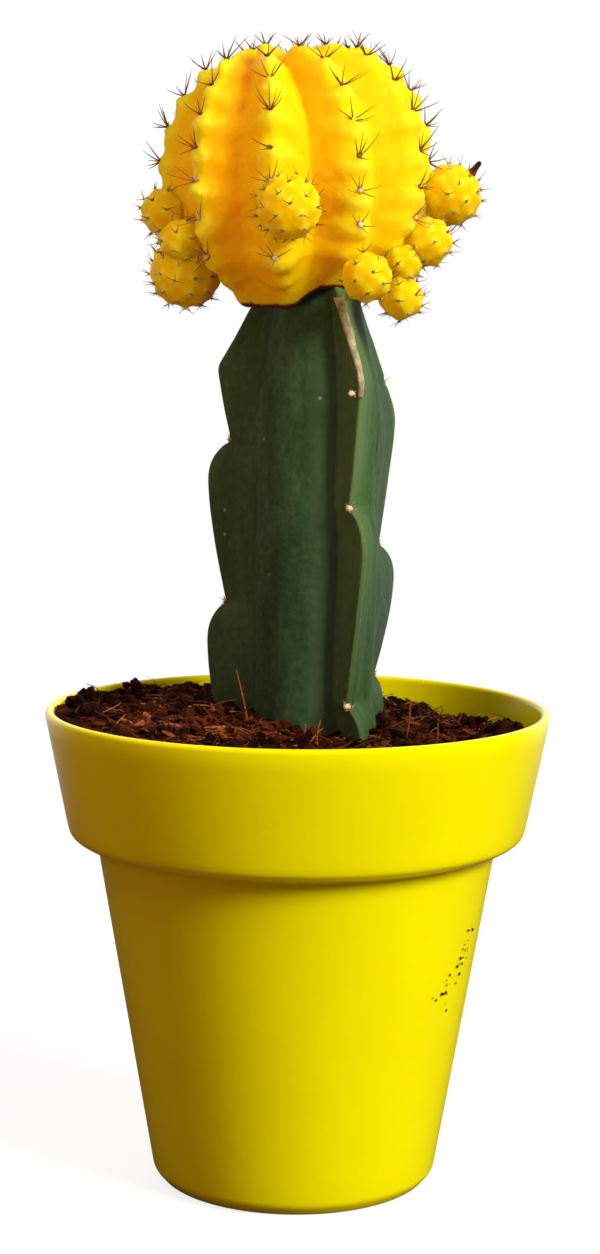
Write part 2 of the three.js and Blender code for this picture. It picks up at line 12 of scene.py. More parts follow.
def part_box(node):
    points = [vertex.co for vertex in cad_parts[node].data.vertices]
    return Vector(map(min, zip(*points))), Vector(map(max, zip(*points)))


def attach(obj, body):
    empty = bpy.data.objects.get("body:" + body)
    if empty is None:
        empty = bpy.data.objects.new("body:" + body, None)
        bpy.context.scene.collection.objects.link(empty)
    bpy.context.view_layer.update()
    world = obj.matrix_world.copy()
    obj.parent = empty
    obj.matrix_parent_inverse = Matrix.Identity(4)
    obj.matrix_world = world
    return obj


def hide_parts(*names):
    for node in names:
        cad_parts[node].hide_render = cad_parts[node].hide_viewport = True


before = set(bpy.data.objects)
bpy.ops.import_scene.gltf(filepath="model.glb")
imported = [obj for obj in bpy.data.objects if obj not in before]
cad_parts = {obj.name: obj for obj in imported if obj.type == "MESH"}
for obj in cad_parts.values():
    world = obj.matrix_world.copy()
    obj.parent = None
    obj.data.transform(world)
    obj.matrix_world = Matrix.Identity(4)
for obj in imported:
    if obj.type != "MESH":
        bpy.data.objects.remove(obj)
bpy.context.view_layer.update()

MM = 0.001
TAU = 2 * math.pi


def mm(rows):
    """Rows of millimetres, in metres."""
    return [tuple(v * MM for v in row) for row in rows]


# The photograph and the camera fitted to it.
PHOTO_HEIGHT = 1254
FOCAL_PIXELS = 2544
SENSOR = 0.036
CAMERA_PLACE = (0.18 * MM, -300 * MM, 103.6 * MM)
CAMERA_PITCH = math.radians(7.0)
CAMERA_ROLL = math.radians(0.55)
# The dim light that comes from all round, and the one from above.
AMBIENT = (0.13, 0.069, 0.085, 1)
OVERHEAD = (0.38, 0.3, 0.27, 1)

# The pot.
RIM_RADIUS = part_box("pot")[1].x
RIM_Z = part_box("pot")[1].z
LIP_RADIUS = 0.55 * MM
COLLAR_FOOT_RADIUS = 27.35 * MM
COLLAR_FOOT_Z = 43.3 * MM
BODY_TOP_RADIUS = 24.0 * MM
BODY_TOP_Z = 41.0 * MM
BODY_FOOT_RADIUS = 17.0 * MM
BODY_FOOT_Z = 1.35 * MM
FOOT_RADIUS = 15.8 * MM
FOOT_RING_WIDTH = 1.7 * MM
WALL = 1.1 * MM
FLOOR_UNDER_Z = 1.2 * MM
FLOOR_TOP_Z = 2.4 * MM
DRAIN_RADIUS = 2.0 * MM
DRAIN_CIRCLE_RADIUS = 8.5 * MM
DRAIN_COUNT = 4
FLOOR_DISC_RADIUS = DRAIN_CIRCLE_RADIUS * 1.5
POT_COLUMNS = 180
POT_STEP = 2.5 * MM
# The drift of dirt specks on the pot: how many, the degrees and heights of its ends, and how far they stray.
SPECK_COUNT = 46
SPECK_ANGLES = (-37, -24)
SPECK_HEIGHTS = (24.5 * MM, 31.5 * MM)
SPECK_STRAY = (2.2, 1.1 * MM)
SPECK_SIZE = 0.06 * MM
SPECK_SPREAD = 0.2 * MM

# The coir mix, with its rises and hollows: x, y, height and spread.
SOIL_GAP = 0.3 * MM
SOIL_LEVEL = 55.1 * MM
SOIL_FALL = 0.055
SOIL_HEAPS = mm([(-9, -1, 1.5, 7), (8, 11, 1.3, 6), (22, -8, 0.9, 4), (20, 15, -1.3, 7)])
SOIL_COLUMNS = 260
SOIL_RINGS = 120
LUMP_SIZE = 3.4 * MM
LUMP_HEIGHT = 0.75 * MM
CRUMB_SIZE = 1.0 * MM
CRUMB_HEIGHT = 0.4 * MM
# How far loose bits, chips and fibres stay away from the rim, and all of them from the stem.
SPOT_MARGIN = 3 * MM
CHIP_MARGIN = 3.2 * MM
FIBRE_MARGIN = 2.2 * MM
STEM_MARGIN = 0.4 * MM
# The clods and chips: how many, the least size, and how much larger the largest are.
CLOD_COUNT = 1900
CLOD_SIZE = 0.2 * MM
CLOD_SPREAD = 0.8 * MM
CHIP_COUNT = 520
CHIP_SIZE = 0.4 * MM
CHIP_SPREAD = 1.5 * MM
# The fibres: their lengths, radii in mm, sideways bend, the most they rise, and their height above the bed.
FIBRE_COUNT = 2000
FIBRE_LENGTHS = (1.2 * MM, 4.5 * MM)
FIBRE_RADII = (0.035, 0.085)
FIBRE_BEND = 1.8
FIBRE_RISE = 0.8
FIBRE_LIFT = 0.12 * MM
LEANING_RADIUS = 0.13 * MM
# The fibres that stand up in the photograph, from the soil upwards.
LEANING_FIBRES = [
    mm([(-5.8, -7.6, 55.6), (-6.1, -7.0, 58.0), (-7.2, -6.3, 62.4)]),
    mm([(2.4, -17.0, 54.6), (2.2, -16.6, 56.4), (2.6, -16.0, 58.2)]),
    mm([(0.2, -15.0, 55.0), (0.8, -15.3, 56.6), (0.9, -15.2, 57.6)]),
    mm([(12.6, -9.0, 55.0), (12.9, -9.4, 57.0), (13.0, -9.3, 59.2)]),
    mm([(15.8, -13.0, 54.6), (16.0, -13.4, 56.0), (16.0, -13.6, 57.6)]),
]
# The clods that stand out at the rim, each a heap of lumps: x, y and height of the middle, and the radius.
BIG_CLOD_PARTS = 34
BIG_CLODS = mm([
    (-24.4, -5.0, 56.8, 2.2),
    (-26.0, -1.2, 57.2, 1.8),
    (-24.6, 3.4, 57.4, 1.9),
    (-22.4, -9.0, 56.0, 1.7),
    (-20.6, 8.6, 57.0, 1.8),
    (-20.8, 1.0, 57.0, 1.6),
    (23.4, -6.5, 55.4, 2.0),
    (21.0, -3.6, 55.8, 1.5),
    (25.4, -2.6, 55.2, 1.5),
    (20.0, -10.5, 54.8, 1.6),
    (16.4, -15.5, 54.6, 1.5),
    (-12.5, -18.5, 55.4, 1.6),
])
# The heap of paler chips at the left, towards the front: x, y and size.
CHIP_HEAP = (-16 * MM, -12 * MM, 6.5 * MM)

# The stem.
STEM_X = 2.3 * MM
STEM_FOOT_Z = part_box("rootstock")[0].z
STEM_TOP_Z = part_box("rootstock")[1].z
STEM_CORE_RADIUS = 6.95 * MM
STEM_CORE_BULGE = 1.35 * MM
STEM_BULGE_ANGLE = math.radians(245)
CORE_TOP_SHARE = 0.7
CORE_TAPER_HEIGHT = 16 * MM
GROOVE_ROUNDNESS = 0.7 * MM
EDGE_ROUNDNESS = 0.3 * MM
SHOULDER_ROUNDNESS = 0.5 * MM
WING_EDGE_HALF = 0.25 * MM
SWELL_SHARE = 0.24
# How narrow the wings become at the foot of the stem, and over which height above it.
BURIED_SHARE = 0.86
BURIED_HEIGHT = 14 * MM
# The edges waver by this many degrees, with waves of this length.
WAVER = 0.5
WAVER_LENGTH = 4.1 * MM
# Each wing has its direction and sway in degrees, the flare of its left and right sides, the painted light
# on the skin of each side (lighter on a lit flank, darker on a shaded one) and the painted sheen on each,
# its bevelled shoulder (its reach at the top, and how fast that grows downwards), the height and reach of
# its notches in mm, and the reach in mm of the lobes between them.
WINGS = [
    {
        "angle": 169, "sway": 0, "flare": (0.42, 0.42), "bright": (0.15, 0.15), "bloom": (0.0, 0.4),
        "shoulder": (7.0 * MM, 0.56),
        "notches": [(106.5, 10.4), (88.6, 10.7), (69.4, 11.2), (50.5, 11.2)],
        "lobes": [12.9, 13.4, 13.4],
    },
    {
        "angle": 289.5, "sway": 2.7, "flare": (0.08, 0.62), "bright": (0.3, 1.0), "bloom": (1.0, 0.0),
        "shoulder": (6.6 * MM, 0.56),
        "notches": [(107.5, 11.0), (81.6, 11.3), (58.8, 11.3), (40, 11.4)],
        "lobes": [13.1, 13.3, 13.3],
    },
    {
        "angle": 409, "sway": 0, "flare": (0.56, 0.42), "bright": (0.4, 0.3), "bloom": (0.0, 0.0),
        "shoulder": (6.1 * MM, 0.5),
        "notches": [(113, 11.3), (95.4, 11.4), (75.9, 10.9), (60, 10.4), (42, 10.2)],
        "lobes": [12.6, 13.7, 13.9, 12.4],
    },
]
FRONT_WING = 1
# The cut down the front wing turns it by these degrees over a height, and leaves one areole beside its edge.
SHOULDER_TURN = 6
SHOULDER_TURN_Z = 96 * MM
SHOULDER_TURN_HEIGHT = 11 * MM
SIDE_AREOLE_Z = 94.8 * MM
# The painted sheen, a pale reflection painted into the skin's colour, sets in and fades out at these degrees
# from a wing's edge, and it fades at the stem's top.
SHEEN_FROM = -5
SHEEN_WIDTH = 13
SHEEN_FADE_FROM = 17
SHEEN_FADE_WIDTH = 15
SHEEN_TOP = 14 * MM
# The middle of a face has this share of the painted light of its duller flank.
FACE_SHARE = 0.5
# Below this height the painted light on the wings' edges falls to a share of itself, painted shade lower
# down; above it they brighten.
PAINTED_SHADE_Z = 62 * MM
BRIGHTEN_HEIGHT = 30 * MM
PAINTED_SHADE_SHARE = 0.5
# The stem's areoles lie between these heights.
STEM_AREOLES_Z = (57 * MM, 100 * MM)
STEM_TUFT_RADIUS = 0.5 * MM
STEM_TUFT_HEIGHT = 0.3 * MM
STEM_TUFT_HAIRS = 14
STEM_SPINE_RADIUS = 0.07 * MM
HAIR_RADIUS = 0.03 * MM
STEM_RELIEF = 0.16 * MM
STEM_RELIEF_SIZE = 4.5 * MM
STEM_GRAIN = 0.03 * MM
STEM_GRAIN_SIZE = 0.9 * MM
STEM_ROWS = 330
# Columns from a wing's edge to the middle of a face; this power crowds them towards the edge.
STEM_SHARES = 26
STEM_CROWDING = 1.7
# The scar on the front wing's shoulder: the heights and half widths of its ends, and its mm above and below
# the skin.
SCAR_TOP_Z = 105.6 * MM
SCAR_FOOT_Z = 94.4 * MM
SCAR_HALVES = (0.62 * MM, 0.28 * MM)
SCAR_ABOVE = 0.16
SCAR_BELOW = 0.7
# How uneven its width is, how far it strays sideways, and the lengths of both waves.
SCAR_UNEVEN = 0.25
SCAR_UNEVEN_LENGTH = 1.1 * MM
SCAR_STRAY = 0.12 * MM
SCAR_STRAY_LENGTH = 2.3 * MM

# The ball.
BALL_X = -0.8 * MM
# Above its waist the ball leans to the right, and its crown is higher on that side.
BALL_WAIST_Z = 119 * MM
BALL_LEAN = 0.02
CROWN_TILT = 0.04
# The ball's outline from the apex down to the graft: radius and height.
BALL_OUTLINE = mm([
    (0, 132.4),
    (2.4, 133.4),
    (5.4, 134.0),
    (9.4, 132.4),
    (12.9, 129.0),
    (15.0, 124.7),
    (15.6, 119.6),
    (15.1, 114.2),
    (13.4, 109.4),
    (9.9, 106.7),
    (7.6, 104.6),
    (5.6, 105.6),
    (0, 106.3),
])
RIB_COUNT = 10
FIRST_RIB_ANGLE = math.radians(-97)
# The ribs turn as they near the apex: by this angle at this distance from it, and at most four times that.
CROWN_TWIST = math.radians(-8)
CROWN_TWIST_AT = 14 * MM
# They waver by about this angle, in waves of two lengths.
RIB_WAVER = np.radians(0.7)
RIB_WAVE_LENGTHS = (7 * MM, 5 * MM)
RIB_DEPTH = 3.0 * MM
# The share of their depth that the furrows have at the apex and at the graft.
APEX_FURROW = 0.12
GRAFT_FURROW = 0.05
# The depth of the furrow after each rib, as a share.
FURROW_SHARES = [1.0, 0.95, 1.0, 1.0, 1.0, 1.0, 1.0, 1.0, 0.95, 0.78]
# How round the bottom of each furrow is.
FURROW_ROUNDNESS = [0.05, 0.15, 0.15, 0.15, 0.15, 0.15, 0.15, 0.15, 0.2, 0.6]
# How orange the right and the left flank of each furrow is: partly the skin's own orange, partly painted
# shade, more on the flanks turned from the light.
FURROW_ORANGE_SHADE = [
    (0.5, 0.48), (0.1, 0.3), (0.2, 0.5), (0.2, 0.5), (0.2, 0.5),
    (0.2, 0.5), (0.2, 0.5), (0.2, 0.5), (0.6, 0.5), (0.9, 0.6),
]
CREST_ROUNDNESS = 0.22
TUBERCLE_HEIGHT = 0.6 * MM
# How far below its areole each tubercle stands, as a share of the spacing.
TUBERCLE_SHIFT = 0.24
# How far the lower end of each rib is lifted, in mm.
RIB_LIFTS = [-0.4, 2.0, 1.8, 0.9, 0.4, 0.5, 0.5, 1.4, 2.8, -0.3]
AREOLE_SPACING = 4.05 * MM
# The first areole of a rib lies at this distance from the apex, give or take half of the stray.
FIRST_AREOLE = 2.6 * MM
FIRST_AREOLE_STRAY = 1.5 * MM
AREOLE_STRAY = 0.5 * MM
LAST_AREOLE = 35 * MM
BALL_RELIEF = 0.26 * MM
BALL_RELIEF_SIZE = 2.6 * MM
TUBERCLE_RELIEF = 0.32 * MM
TUBERCLE_RELIEF_SIZE = 1.1 * MM
# Where the skin turns brown at the graft, a dry crust with painted shade under the ball, and amber below the
# waist, partly painted shade on the underside: a share of the outline, and a width.
NECK = (0.81, 0.03)
FOOT = (0.55, 0.25)
BALL_COLUMNS = 320
BALL_ROWS = 230
# Each spine of an areole: its turn from straight up, how far it leans, and its share of the full length.
SPINE_FAN = [
    (-70, 1.3, 1.0),
    (58, 1.2, 1.05),
    (-112, 1.5, 0.85),
    (100, 1.4, 0.95),
    (-20, 0.6, 0.75),
    (-160, 1.5, 0.8),
    (145, 1.3, 0.85),
    (25, 1.5, 0.8),
]
# The share of spines that are missing, the length of the youngest as a share of the full one, and the radii
# of the tufts in mm.
MISSING_SPINES = 0.28
YOUNG_SPINE = 0.42
TUFT_RADII = (0.3, 0.36)
SPINE_LENGTH = 2.8 * MM
SPINE_RADIUS = 0.095 * MM

# The offsets: x, y and z of the middle, and the radius.
OFFSETS = mm([
    (-1.5, -16.4, 115.3, 3.5),
    (17.3, 3.0, 117.7, 3.6),
    (14.4, -5.2, 112.0, 2.8),
    (7.3, -12.6, 107.8, 2.8),
    (11.4, -7.2, 105.6, 2.5),
    (11.4, -6.4, 109.4, 2.3),
    (-13.3, -4.6, 108.4, 4.1),
    (-13.7, -7.0, 111.8, 2.5),
    (-16.0, -3.4, 115.2, 2.6),
    (5.4, 14.4, 110.6, 3.2),
    (-8.8, 12.8, 113.0, 3.3),
    (12.6, 9.6, 114.6, 2.5),
    (-15.0, 6.6, 112.8, 2.3),
])
KNOB_AREA = 3.8 * MM * MM
KNOB_HEIGHT = 0.26 * MM
OFFSET_ROWS = 46
OFFSET_COLUMNS = 72
OFFSET_RELIEF = 0.1 * MM
OFFSET_RELIEF_SIZE = 2.6 * MM
# Each offset points away from the ball's axis at this height.
OFFSET_AXIS_Z = 118 * MM
OFFSET_SPINE_LENGTH = 1.1 * MM
OFFSET_SPINE_RADIUS = 0.06 * MM
OFFSET_TUFT = 0.19 * MM

# The dry flower stub on the right-hand offset.
STUB_FROM, STUB_TO = map(Vector, mm([(19.3, 2.8, 119.4), (20.8, 2.7, 121.6)]))


def circle(count):
    """Evenly spaced angles of a whole turn."""
    return np.linspace(0, TAU, count, endpoint=False)


def clamp01(t):
    return np.clip(t, 0, 1)


def ease(t, start=0.0, width=1.0):
    """A smooth step from 0 to 1 that begins at a start and takes a width."""
    t = clamp01((t - start) / width)
    return t * t * (3 - 2 * t)


def mix(a, b, t):
    return a + (b - a) * t


def soft_max(a, b, k):
    """The larger of two lengths, rounded where they are within k of each other."""
    h = clamp01(0.5 + 0.5 * (a - b) / k)
    return mix(b, a, h) + k * h * (1 - h)


def soft_min(a, b, k):
    return -soft_max(-a, -b, k)


def draw(a, b=0, c=0):
    """A repeatable draw from 0 to 1 for each set of whole numbers."""
    s = math.sin(a * 12.9898 + b * 78.233 + c * 37.719 + 4.1) * 43758.5453
    return s - math.floor(s)


def crumple(points, size, seed=0, octaves=3):
    """Smooth noise from about -1 to 1 at each point, with features of a size."""
    shift = Vector((17.3, 5.7, 11.1)) * seed
    flat = points.reshape(-1, 3) / size
    values = [noise.fractal(Vector(p) + shift, 1.0, 2.0, octaves) for p in flat]
    return np.array(values).reshape(points.shape[:-1])


def smooth_line(points, steps=60):
    """A dense smooth line through points, and the distance along it."""
    p = np.array(points, float)
    t = np.linspace(0, 1, steps, endpoint=False)[:, None]
    stretches = []
    for i in range(len(p) - 1):
        a, b = p[i], p[i + 1]
        before = p[max(i - 1, 0)]
        after = p[min(i + 2, len(p) - 1)]
        va = (b - before) / 2
        vb = (after - a) / 2
        cubic = (2 * a - 2 * b + va + vb) * t**3
        square = (3 * b - 3 * a - 2 * va - vb) * t**2
        stretches.append(cubic + square + va * t + a)
    line = np.vstack(stretches + [p[-1:]])
    far = np.concatenate([[0], np.cumsum(np.linalg.norm(np.diff(line, axis=0), axis=1))])
    return line, far


def new_object(name, data):
    """An object in the scene, with its mesh, light or camera."""
    made = bpy.data.objects.new(name, data)
    bpy.context.scene.collection.objects.link(made)
    return made


class Shape:
    """Vertices, faces and numbers per vertex, gathered for one mesh."""

    def __init__(self):
        self.points = []
        self.faces = []
        self.values = {}
        self.count = 0

    def add(self, points, faces, **values):
        self.points.append(points)
        self.faces.extend([[i + self.count for i in face] for face in faces])
        for name, value in values.items():
            self.values.setdefault(name, []).append(np.broadcast_to(value, len(points)))
        self.count += len(points)

    def skin(self, rings, **values):
        """Adds a closed skin over rings from the top down."""
        self.add(*closed_rings(rings), **values)

    def mesh(self, name):
        made = bpy.data.meshes.new(name)
        made.from_pydata(np.vstack(self.points).tolist(), [], self.faces)
        return made

    def object(self, name, material, solid, replaces=True, smooth=True):
        """A piece of one solid's stuff; as a rule it also takes the solid's place."""
        mesh = self.mesh(name)
        for key, parts in self.values.items():
            layer = mesh.attributes.new(key, "FLOAT", "POINT")
            layer.data.foreach_set("value", np.concatenate(parts).astype(np.float32))
        mesh.shade_smooth() if smooth else mesh.shade_flat()
        mesh.materials.append(material)
        made = new_object(name, mesh)
        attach(made, "root")
        if replaces:
            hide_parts(solid)
        return made


def closed_rings(rings):
    """The points and faces of a closed skin over rings from the top down, anticlockwise from above."""
    rings = np.asarray(rings, float)
    columns = rings.shape[1]
    points = np.vstack([rings.reshape(-1, 3), rings[:1].mean(1), rings[-1:].mean(1)])
    top = len(points) - 2
    last = top - columns
    steps = [(j, (j + 1) % columns) for j in range(columns)]
    faces = []
    for a in range(0, last, columns):
        b = a + columns
        faces += [(a + j, b + j, b + k, a + k) for j, k in steps]
    faces += [(top, j, k) for j, k in steps]
    faces += [(top + 1, last + k, last + j) for j, k in steps]
    return points, faces


def with_ends(values, top=0.0, foot=0.0):
    """A number for each point of some rings, and then for the two points that close them."""
    return np.concatenate([np.ravel(values), [top, foot]])


def polar(radius, angle, height):
    """Points by their distance from the Z axis, the angle round it and the height."""
    return np.stack(np.broadcast_arrays(radius * np.cos(angle), radius * np.sin(angle), height), -1)


def spoke(across, up, angle):
    """The direction at an angle from one of two directions towards the other."""
    return across * math.cos(angle) + up * math.sin(angle)


# Finishes


def srgb(*shown):
    """A linear colour from the 0 to 255 values that a picture shows."""
    values = [v / 255 for v in shown]
    return (*(v / 12.92 if v <= 0.04045 else ((v + 0.055) / 1.055) ** 2.4 for v in values), 1.0)


class Tree:
    """The nodes of a material or of the world, added one by one."""

    def __init__(self, owner):
        owner.use_nodes = True
        self.nodes = owner.node_tree.nodes
        self.links = owner.node_tree.links

    def node(self, kind, inputs, **settings):
        made = self.nodes.new("ShaderNode" + kind)
        for key, value in settings.items():
            setattr(made, key, value)
        for key, value in inputs.items():
            self.join(made.inputs[key], value)
        return made.outputs

    def join(self, socket, value):
        if isinstance(value, bpy.types.NodeSocket):
            self.links.new(value, socket)
        else:
            socket.default_value = value

    def span(self, value, low, high, to_low=0.0, to_high=1.0):
        inputs = {"Value": value, "From Min": low, "From Max": high, "To Min": to_low, "To Max": to_high}
        return self.node("MapRange", inputs)["Result"]

    def blend(self, factor, a, b):
        made = self.nodes.new("ShaderNodeMix")
        made.data_type = "RGBA"
        for slot, value in ((0, factor), (6, a), (7, b)):
            self.join(made.inputs[slot], value)
        return made.outputs[2]


class Finish(Tree):
    """A procedural material that is built up node by node."""

    def __init__(self, name, **sockets):
        self.material = bpy.data.materials.new(name)
        super().__init__(self.material)
        self.shader = self.nodes["Principled BSDF"]
        for key, value in sockets.items():
            self.put(key.replace("_", " "), value)
        self.place = self.node("TexCoord", {})["Object"]

    def put(self, name, value):
        self.join(self.shader.inputs[name], value)

    def glow(self, weight, radius, scale):
        """Lets light through under the surface."""
        self.put("Subsurface Weight", weight)
        self.put("Subsurface Radius", radius)
        self.put("Subsurface Scale", scale)

    def number(self, name):
        return self.node("Attribute", {}, attribute_name=name)["Fac"]

    def grain(self, size, detail=4.0, roughness=0.55, stretch=(1, 1, 1)):
        """Noise from 0 to 1 with features of a size, stretched along the axes."""
        place = self.node("Mapping", {"Vector": self.place, "Scale": [1 / s for s in stretch]})["Vector"]
        inputs = {"Vector": place, "Scale": 1 / size, "Detail": detail, "Roughness": roughness}
        return self.node("TexNoise", inputs)["Fac"]

    def cells(self, size):
        return self.node("TexVoronoi", {"Vector": self.place, "Scale": 1 / size})["Distance"]

    def vary(self, value, noise, amount, middle=0.5):
        """value + (noise - middle) * amount."""
        centred = self.node("Math", {0: noise, 1: -middle}, operation="ADD")[0]
        return self.node("Math", {0: centred, 1: amount, 2: value}, operation="MULTIPLY_ADD")[0]

    def ramp(self, value, *stops):
        """Colours over a value: each stop is its place and its linear red, green and blue."""
        made = self.nodes.new("ShaderNodeValToRGB")
        elements = made.color_ramp.elements
        while len(elements) < len(stops):
            elements.new(0.5)
        for element, (at, *colour) in zip(elements, stops):
            element.position = at
            element.color = (*colour, 1.0)
        self.join(made.inputs["Fac"], value)
        return made.outputs["Color"]

    def tones(self, value, *stops):
        """A ramp with the 0 to 255 colours that a picture shows."""
        return self.ramp(value, *((at, *srgb(*shown)[:3]) for at, *shown in stops))

    def bumps(self, height, distance, strength=1.0, under=None):
        inputs = {"Height": height, "Distance": distance, "Strength": strength}
        if under is not None:
            inputs["Normal"] = under
        return self.node("Bump", inputs)["Normal"]


def plastic_finish():
    """Glossy yellow moulded plastic with a faint flow texture and a little light through it."""
    finish = Finish("yellow_plastic", IOR=1.46, Specular_Tint=(1.0, 0.85, 0.05, 1))
    patch = finish.grain(14 * MM, 2.0)
    finish.put("Base Color", finish.ramp(patch, (0.35, 0.93, 0.9, 0.0), (0.7, 0.95, 0.94, 0.0)))
    finish.glow(0.3, (1.0, 0.6, 0.02), 1.5 * MM)
    scuff = finish.grain(5 * MM, 4.0, 0.6)
    finish.put("Roughness", finish.span(scuff, 0.3, 0.8, 0.22, 0.28))
    peel = finish.grain(0.9 * MM, 2.0)
    flow = finish.grain(12 * MM, 1.0, 0.5)
    wavy = finish.bumps(flow, 0.15 * MM, 0.25)
    finish.put("Normal", finish.bumps(peel, 0.008 * MM, 0.3, wavy))
    return finish.material


def coir_finish():
    """Dark, moist coir crumb with red-brown and tan fibres in it."""
    finish = Finish("coir_crumb", Roughness=0.95, Specular_IOR_Level=0.15)
    fine = finish.grain(0.7 * MM, 6.0, 0.7)
    broad = finish.grain(5 * MM, 3.0)
    shade = finish.vary(fine, broad, 0.8)
    brown = finish.tones(shade, (0.3, 24, 9, 5), (0.5, 58, 25, 12), (0.66, 104, 48, 20), (0.85, 150, 80, 36))
    finish.put("Base Color", brown)
    finish.put("Normal", finish.bumps(fine, 0.6 * MM, 0.9))
    return finish.material


def chip_finish():
    """Coir clods, chips and husk fibres: each has a tone of its own, streaked along the grain."""
    finish = Finish("coir_chip", Roughness=0.9, Specular_IOR_Level=0.15)
    tone = finish.number("tone")
    streak = finish.grain(0.45 * MM, 5.0, 0.7, (1, 1, 0.5))
    shade = finish.vary(tone, streak, 0.5)
    dark = [(0.05, 20, 8, 5), (0.35, 50, 21, 11), (0.6, 84, 39, 19)]
    finish.put("Base Color", finish.tones(shade, *dark, (0.8, 140, 72, 34), (0.97, 196, 136, 82)))
    finish.put("Normal", finish.bumps(streak, 0.3 * MM, 0.9))
    return finish.material


def stem_finish():
    """Waxy dark green skin with painted light and shade: lighter on the lit flanks, greyer on the shaded
    ones, a painted sheen beside the wings' edges and a painted highlight along them; and pale specks and
    scuffs along the edges.
    """
    finish = Finish("green_skin", IOR=1.42, Specular_IOR_Level=0.07)
    edge = finish.number("edge")
    cloud = finish.grain(6 * MM, 4.0, 0.6, (1, 1, 2.5))
    streak = finish.grain(1.1 * MM, 4.0, 0.6, (1, 1, 9))
    mottle = finish.grain(0.9 * MM, 3.0, 0.7)
    tone = finish.vary(finish.vary(cloud, streak, 0.35), mottle, 0.8)
    # Painted light and shade: a greyer green for the shaded flanks, the skin's green, and a lighter green
    # for the lit flank.
    painted_shade_tones = finish.tones(tone, (0.25, 44, 67, 48), (0.5, 57, 84, 61), (0.75, 74, 100, 75))
    green = finish.tones(tone, (0.25, 40, 68, 32), (0.5, 52, 84, 41), (0.75, 68, 102, 55))
    bright = finish.number("bright")
    shade_to_mid_skin = finish.blend(finish.span(bright, 0.0, 0.5), painted_shade_tones, green)
    skin = finish.blend(finish.span(bright, 0.5, 1.0), shade_to_mid_skin, srgb(84, 120, 64))
    # A pale painted sheen: a reflection painted into the colour beside a wing's edge.
    bloomed = finish.span(finish.number("bloom"), 0.0, 1.0, 0.0, 0.5)
    sheened_skin = finish.blend(bloomed, skin, srgb(92, 120, 92))
    # A painted highlight along the wings' edges.
    painted_edge_highlight = finish.blend(finish.span(edge, 0.92, 1.0, 0.0, 0.15), sheened_skin, srgb(126, 152, 92))
    rub = finish.grain(1.4 * MM, 5.0, 0.7, (1, 1, 3))
    worn = finish.span(finish.vary(rub, edge, 0.5, 1.0), 0.6, 0.68, 0.0, 0.45)
    scuffed = finish.blend(worn, painted_edge_highlight, srgb(140, 150, 112))
    speck = finish.span(finish.cells(3.4 * MM), 0.075, 0.04, 0.0, 0.6)
    finish.put("Base Color", finish.blend(speck, scuffed, srgb(172, 182, 142)))
    finish.glow(0.08, (0.35, 1.0, 0.2), 0.6 * MM)
    finish.put("Roughness", finish.span(cloud, 0.3, 0.7, 0.5, 0.64))
    pores = finish.bumps(finish.grain(0.35 * MM, 2.0), 0.03 * MM, 0.5)
    finish.put("Normal", finish.bumps(streak, 0.1 * MM, 0.4, pores))
    return finish.material


def cork_finish():
    """Dry tan cork, cracked along its length."""
    finish = Finish("dry_cork", Roughness=0.9)
    crack = finish.grain(0.8 * MM, 6.0, 0.75, (1, 1, 3))
    tan = finish.tones(crack, (0.3, 96, 88, 66), (0.5, 160, 154, 126), (0.7, 214, 208, 184))
    finish.put("Base Color", tan)
    finish.put("Normal", finish.bumps(crack, 0.2 * MM, 0.9))
    return finish.material


def flesh_finish():
    """Translucent yellow skin: lemon on the crests and knobs, orange in the furrows, brown at the graft.
    Light and shade are painted in part: paler tops as a painted highlight, orange furrows and an amber foot
    as painted shade, and painted shade under the ball at the graft.
    """
    finish = Finish("yellow_skin", IOR=1.42, Specular_IOR_Level=0.3)
    furrow = finish.number("furrow")
    pale = finish.number("pale")
    blotch = finish.grain(3.2 * MM, 4.0, 0.6)
    speck = finish.grain(0.5 * MM, 3.0, 0.6)
    # Orange deepens into the furrows: partly the skin's own colour, partly painted shade in the furrows and
    # on the flanks turned from the light.
    depth = finish.vary(finish.vary(furrow, blotch, 0.5), speck, 0.15)
    shallow = [(0.0, 0.95, 0.77, 0.004), (0.3, 0.95, 0.69, 0.002)]
    body = finish.ramp(depth, *shallow, (0.6, 0.95, 0.6, 0.001), (1.0, 0.95, 0.49, 0.0))
    # Pale freckles, most on the tops of the tubercles and knobs, where they are partly a painted highlight.
    freckle_and_highlight = finish.vary(pale, finish.grain(0.9 * MM, 3.0, 0.7), 2.2)
    light = finish.blend(finish.span(freckle_and_highlight, 0.1, 1.0, 0.0, 0.8), body, (0.95, 0.84, 0.04, 1))
    # Amber towards the bottom of the ball: partly painted shade on the underside.
    low = finish.span(finish.vary(finish.number("foot"), blotch, 0.5), 0.1, 0.9, 0.0, 0.6)
    amber = finish.blend(low, light, (0.95, 0.54, 0.0, 1))
    # Brown at the graft: a dry crust, and painted shade under the ball.
    neck = finish.span(finish.vary(finish.number("neck"), speck, 0.6), 0.35, 0.7)
    finish.put("Base Color", finish.blend(neck, amber, srgb(84, 40, 12)))
    finish.glow(0.85, (1.0, 0.7, 0.05), 5.2 * MM)
    finish.put("Roughness", finish.span(blotch, 0.3, 0.7, 0.42, 0.56))
    cells = finish.bumps(speck, 0.08 * MM, 0.8)
    finish.put("Normal", finish.bumps(blotch, 0.3 * MM, 0.3, cells))
    return finish.material


def spine_finish():
    """Horn-like spines: dark brown at the root and the point, tan between, and straw-coloured where pale."""
    finish = Finish("brown_spine", Roughness=0.5)
    lower = [(0.0, 66, 32, 14), (0.3, 122, 74, 36)]
    horn = finish.tones(finish.number("along"), *lower, (0.75, 98, 56, 30), (1.0, 60, 32, 20))
    finish.put("Base Color", finish.blend(finish.number("pale"), horn, srgb(226, 178, 70)))
    return finish.material


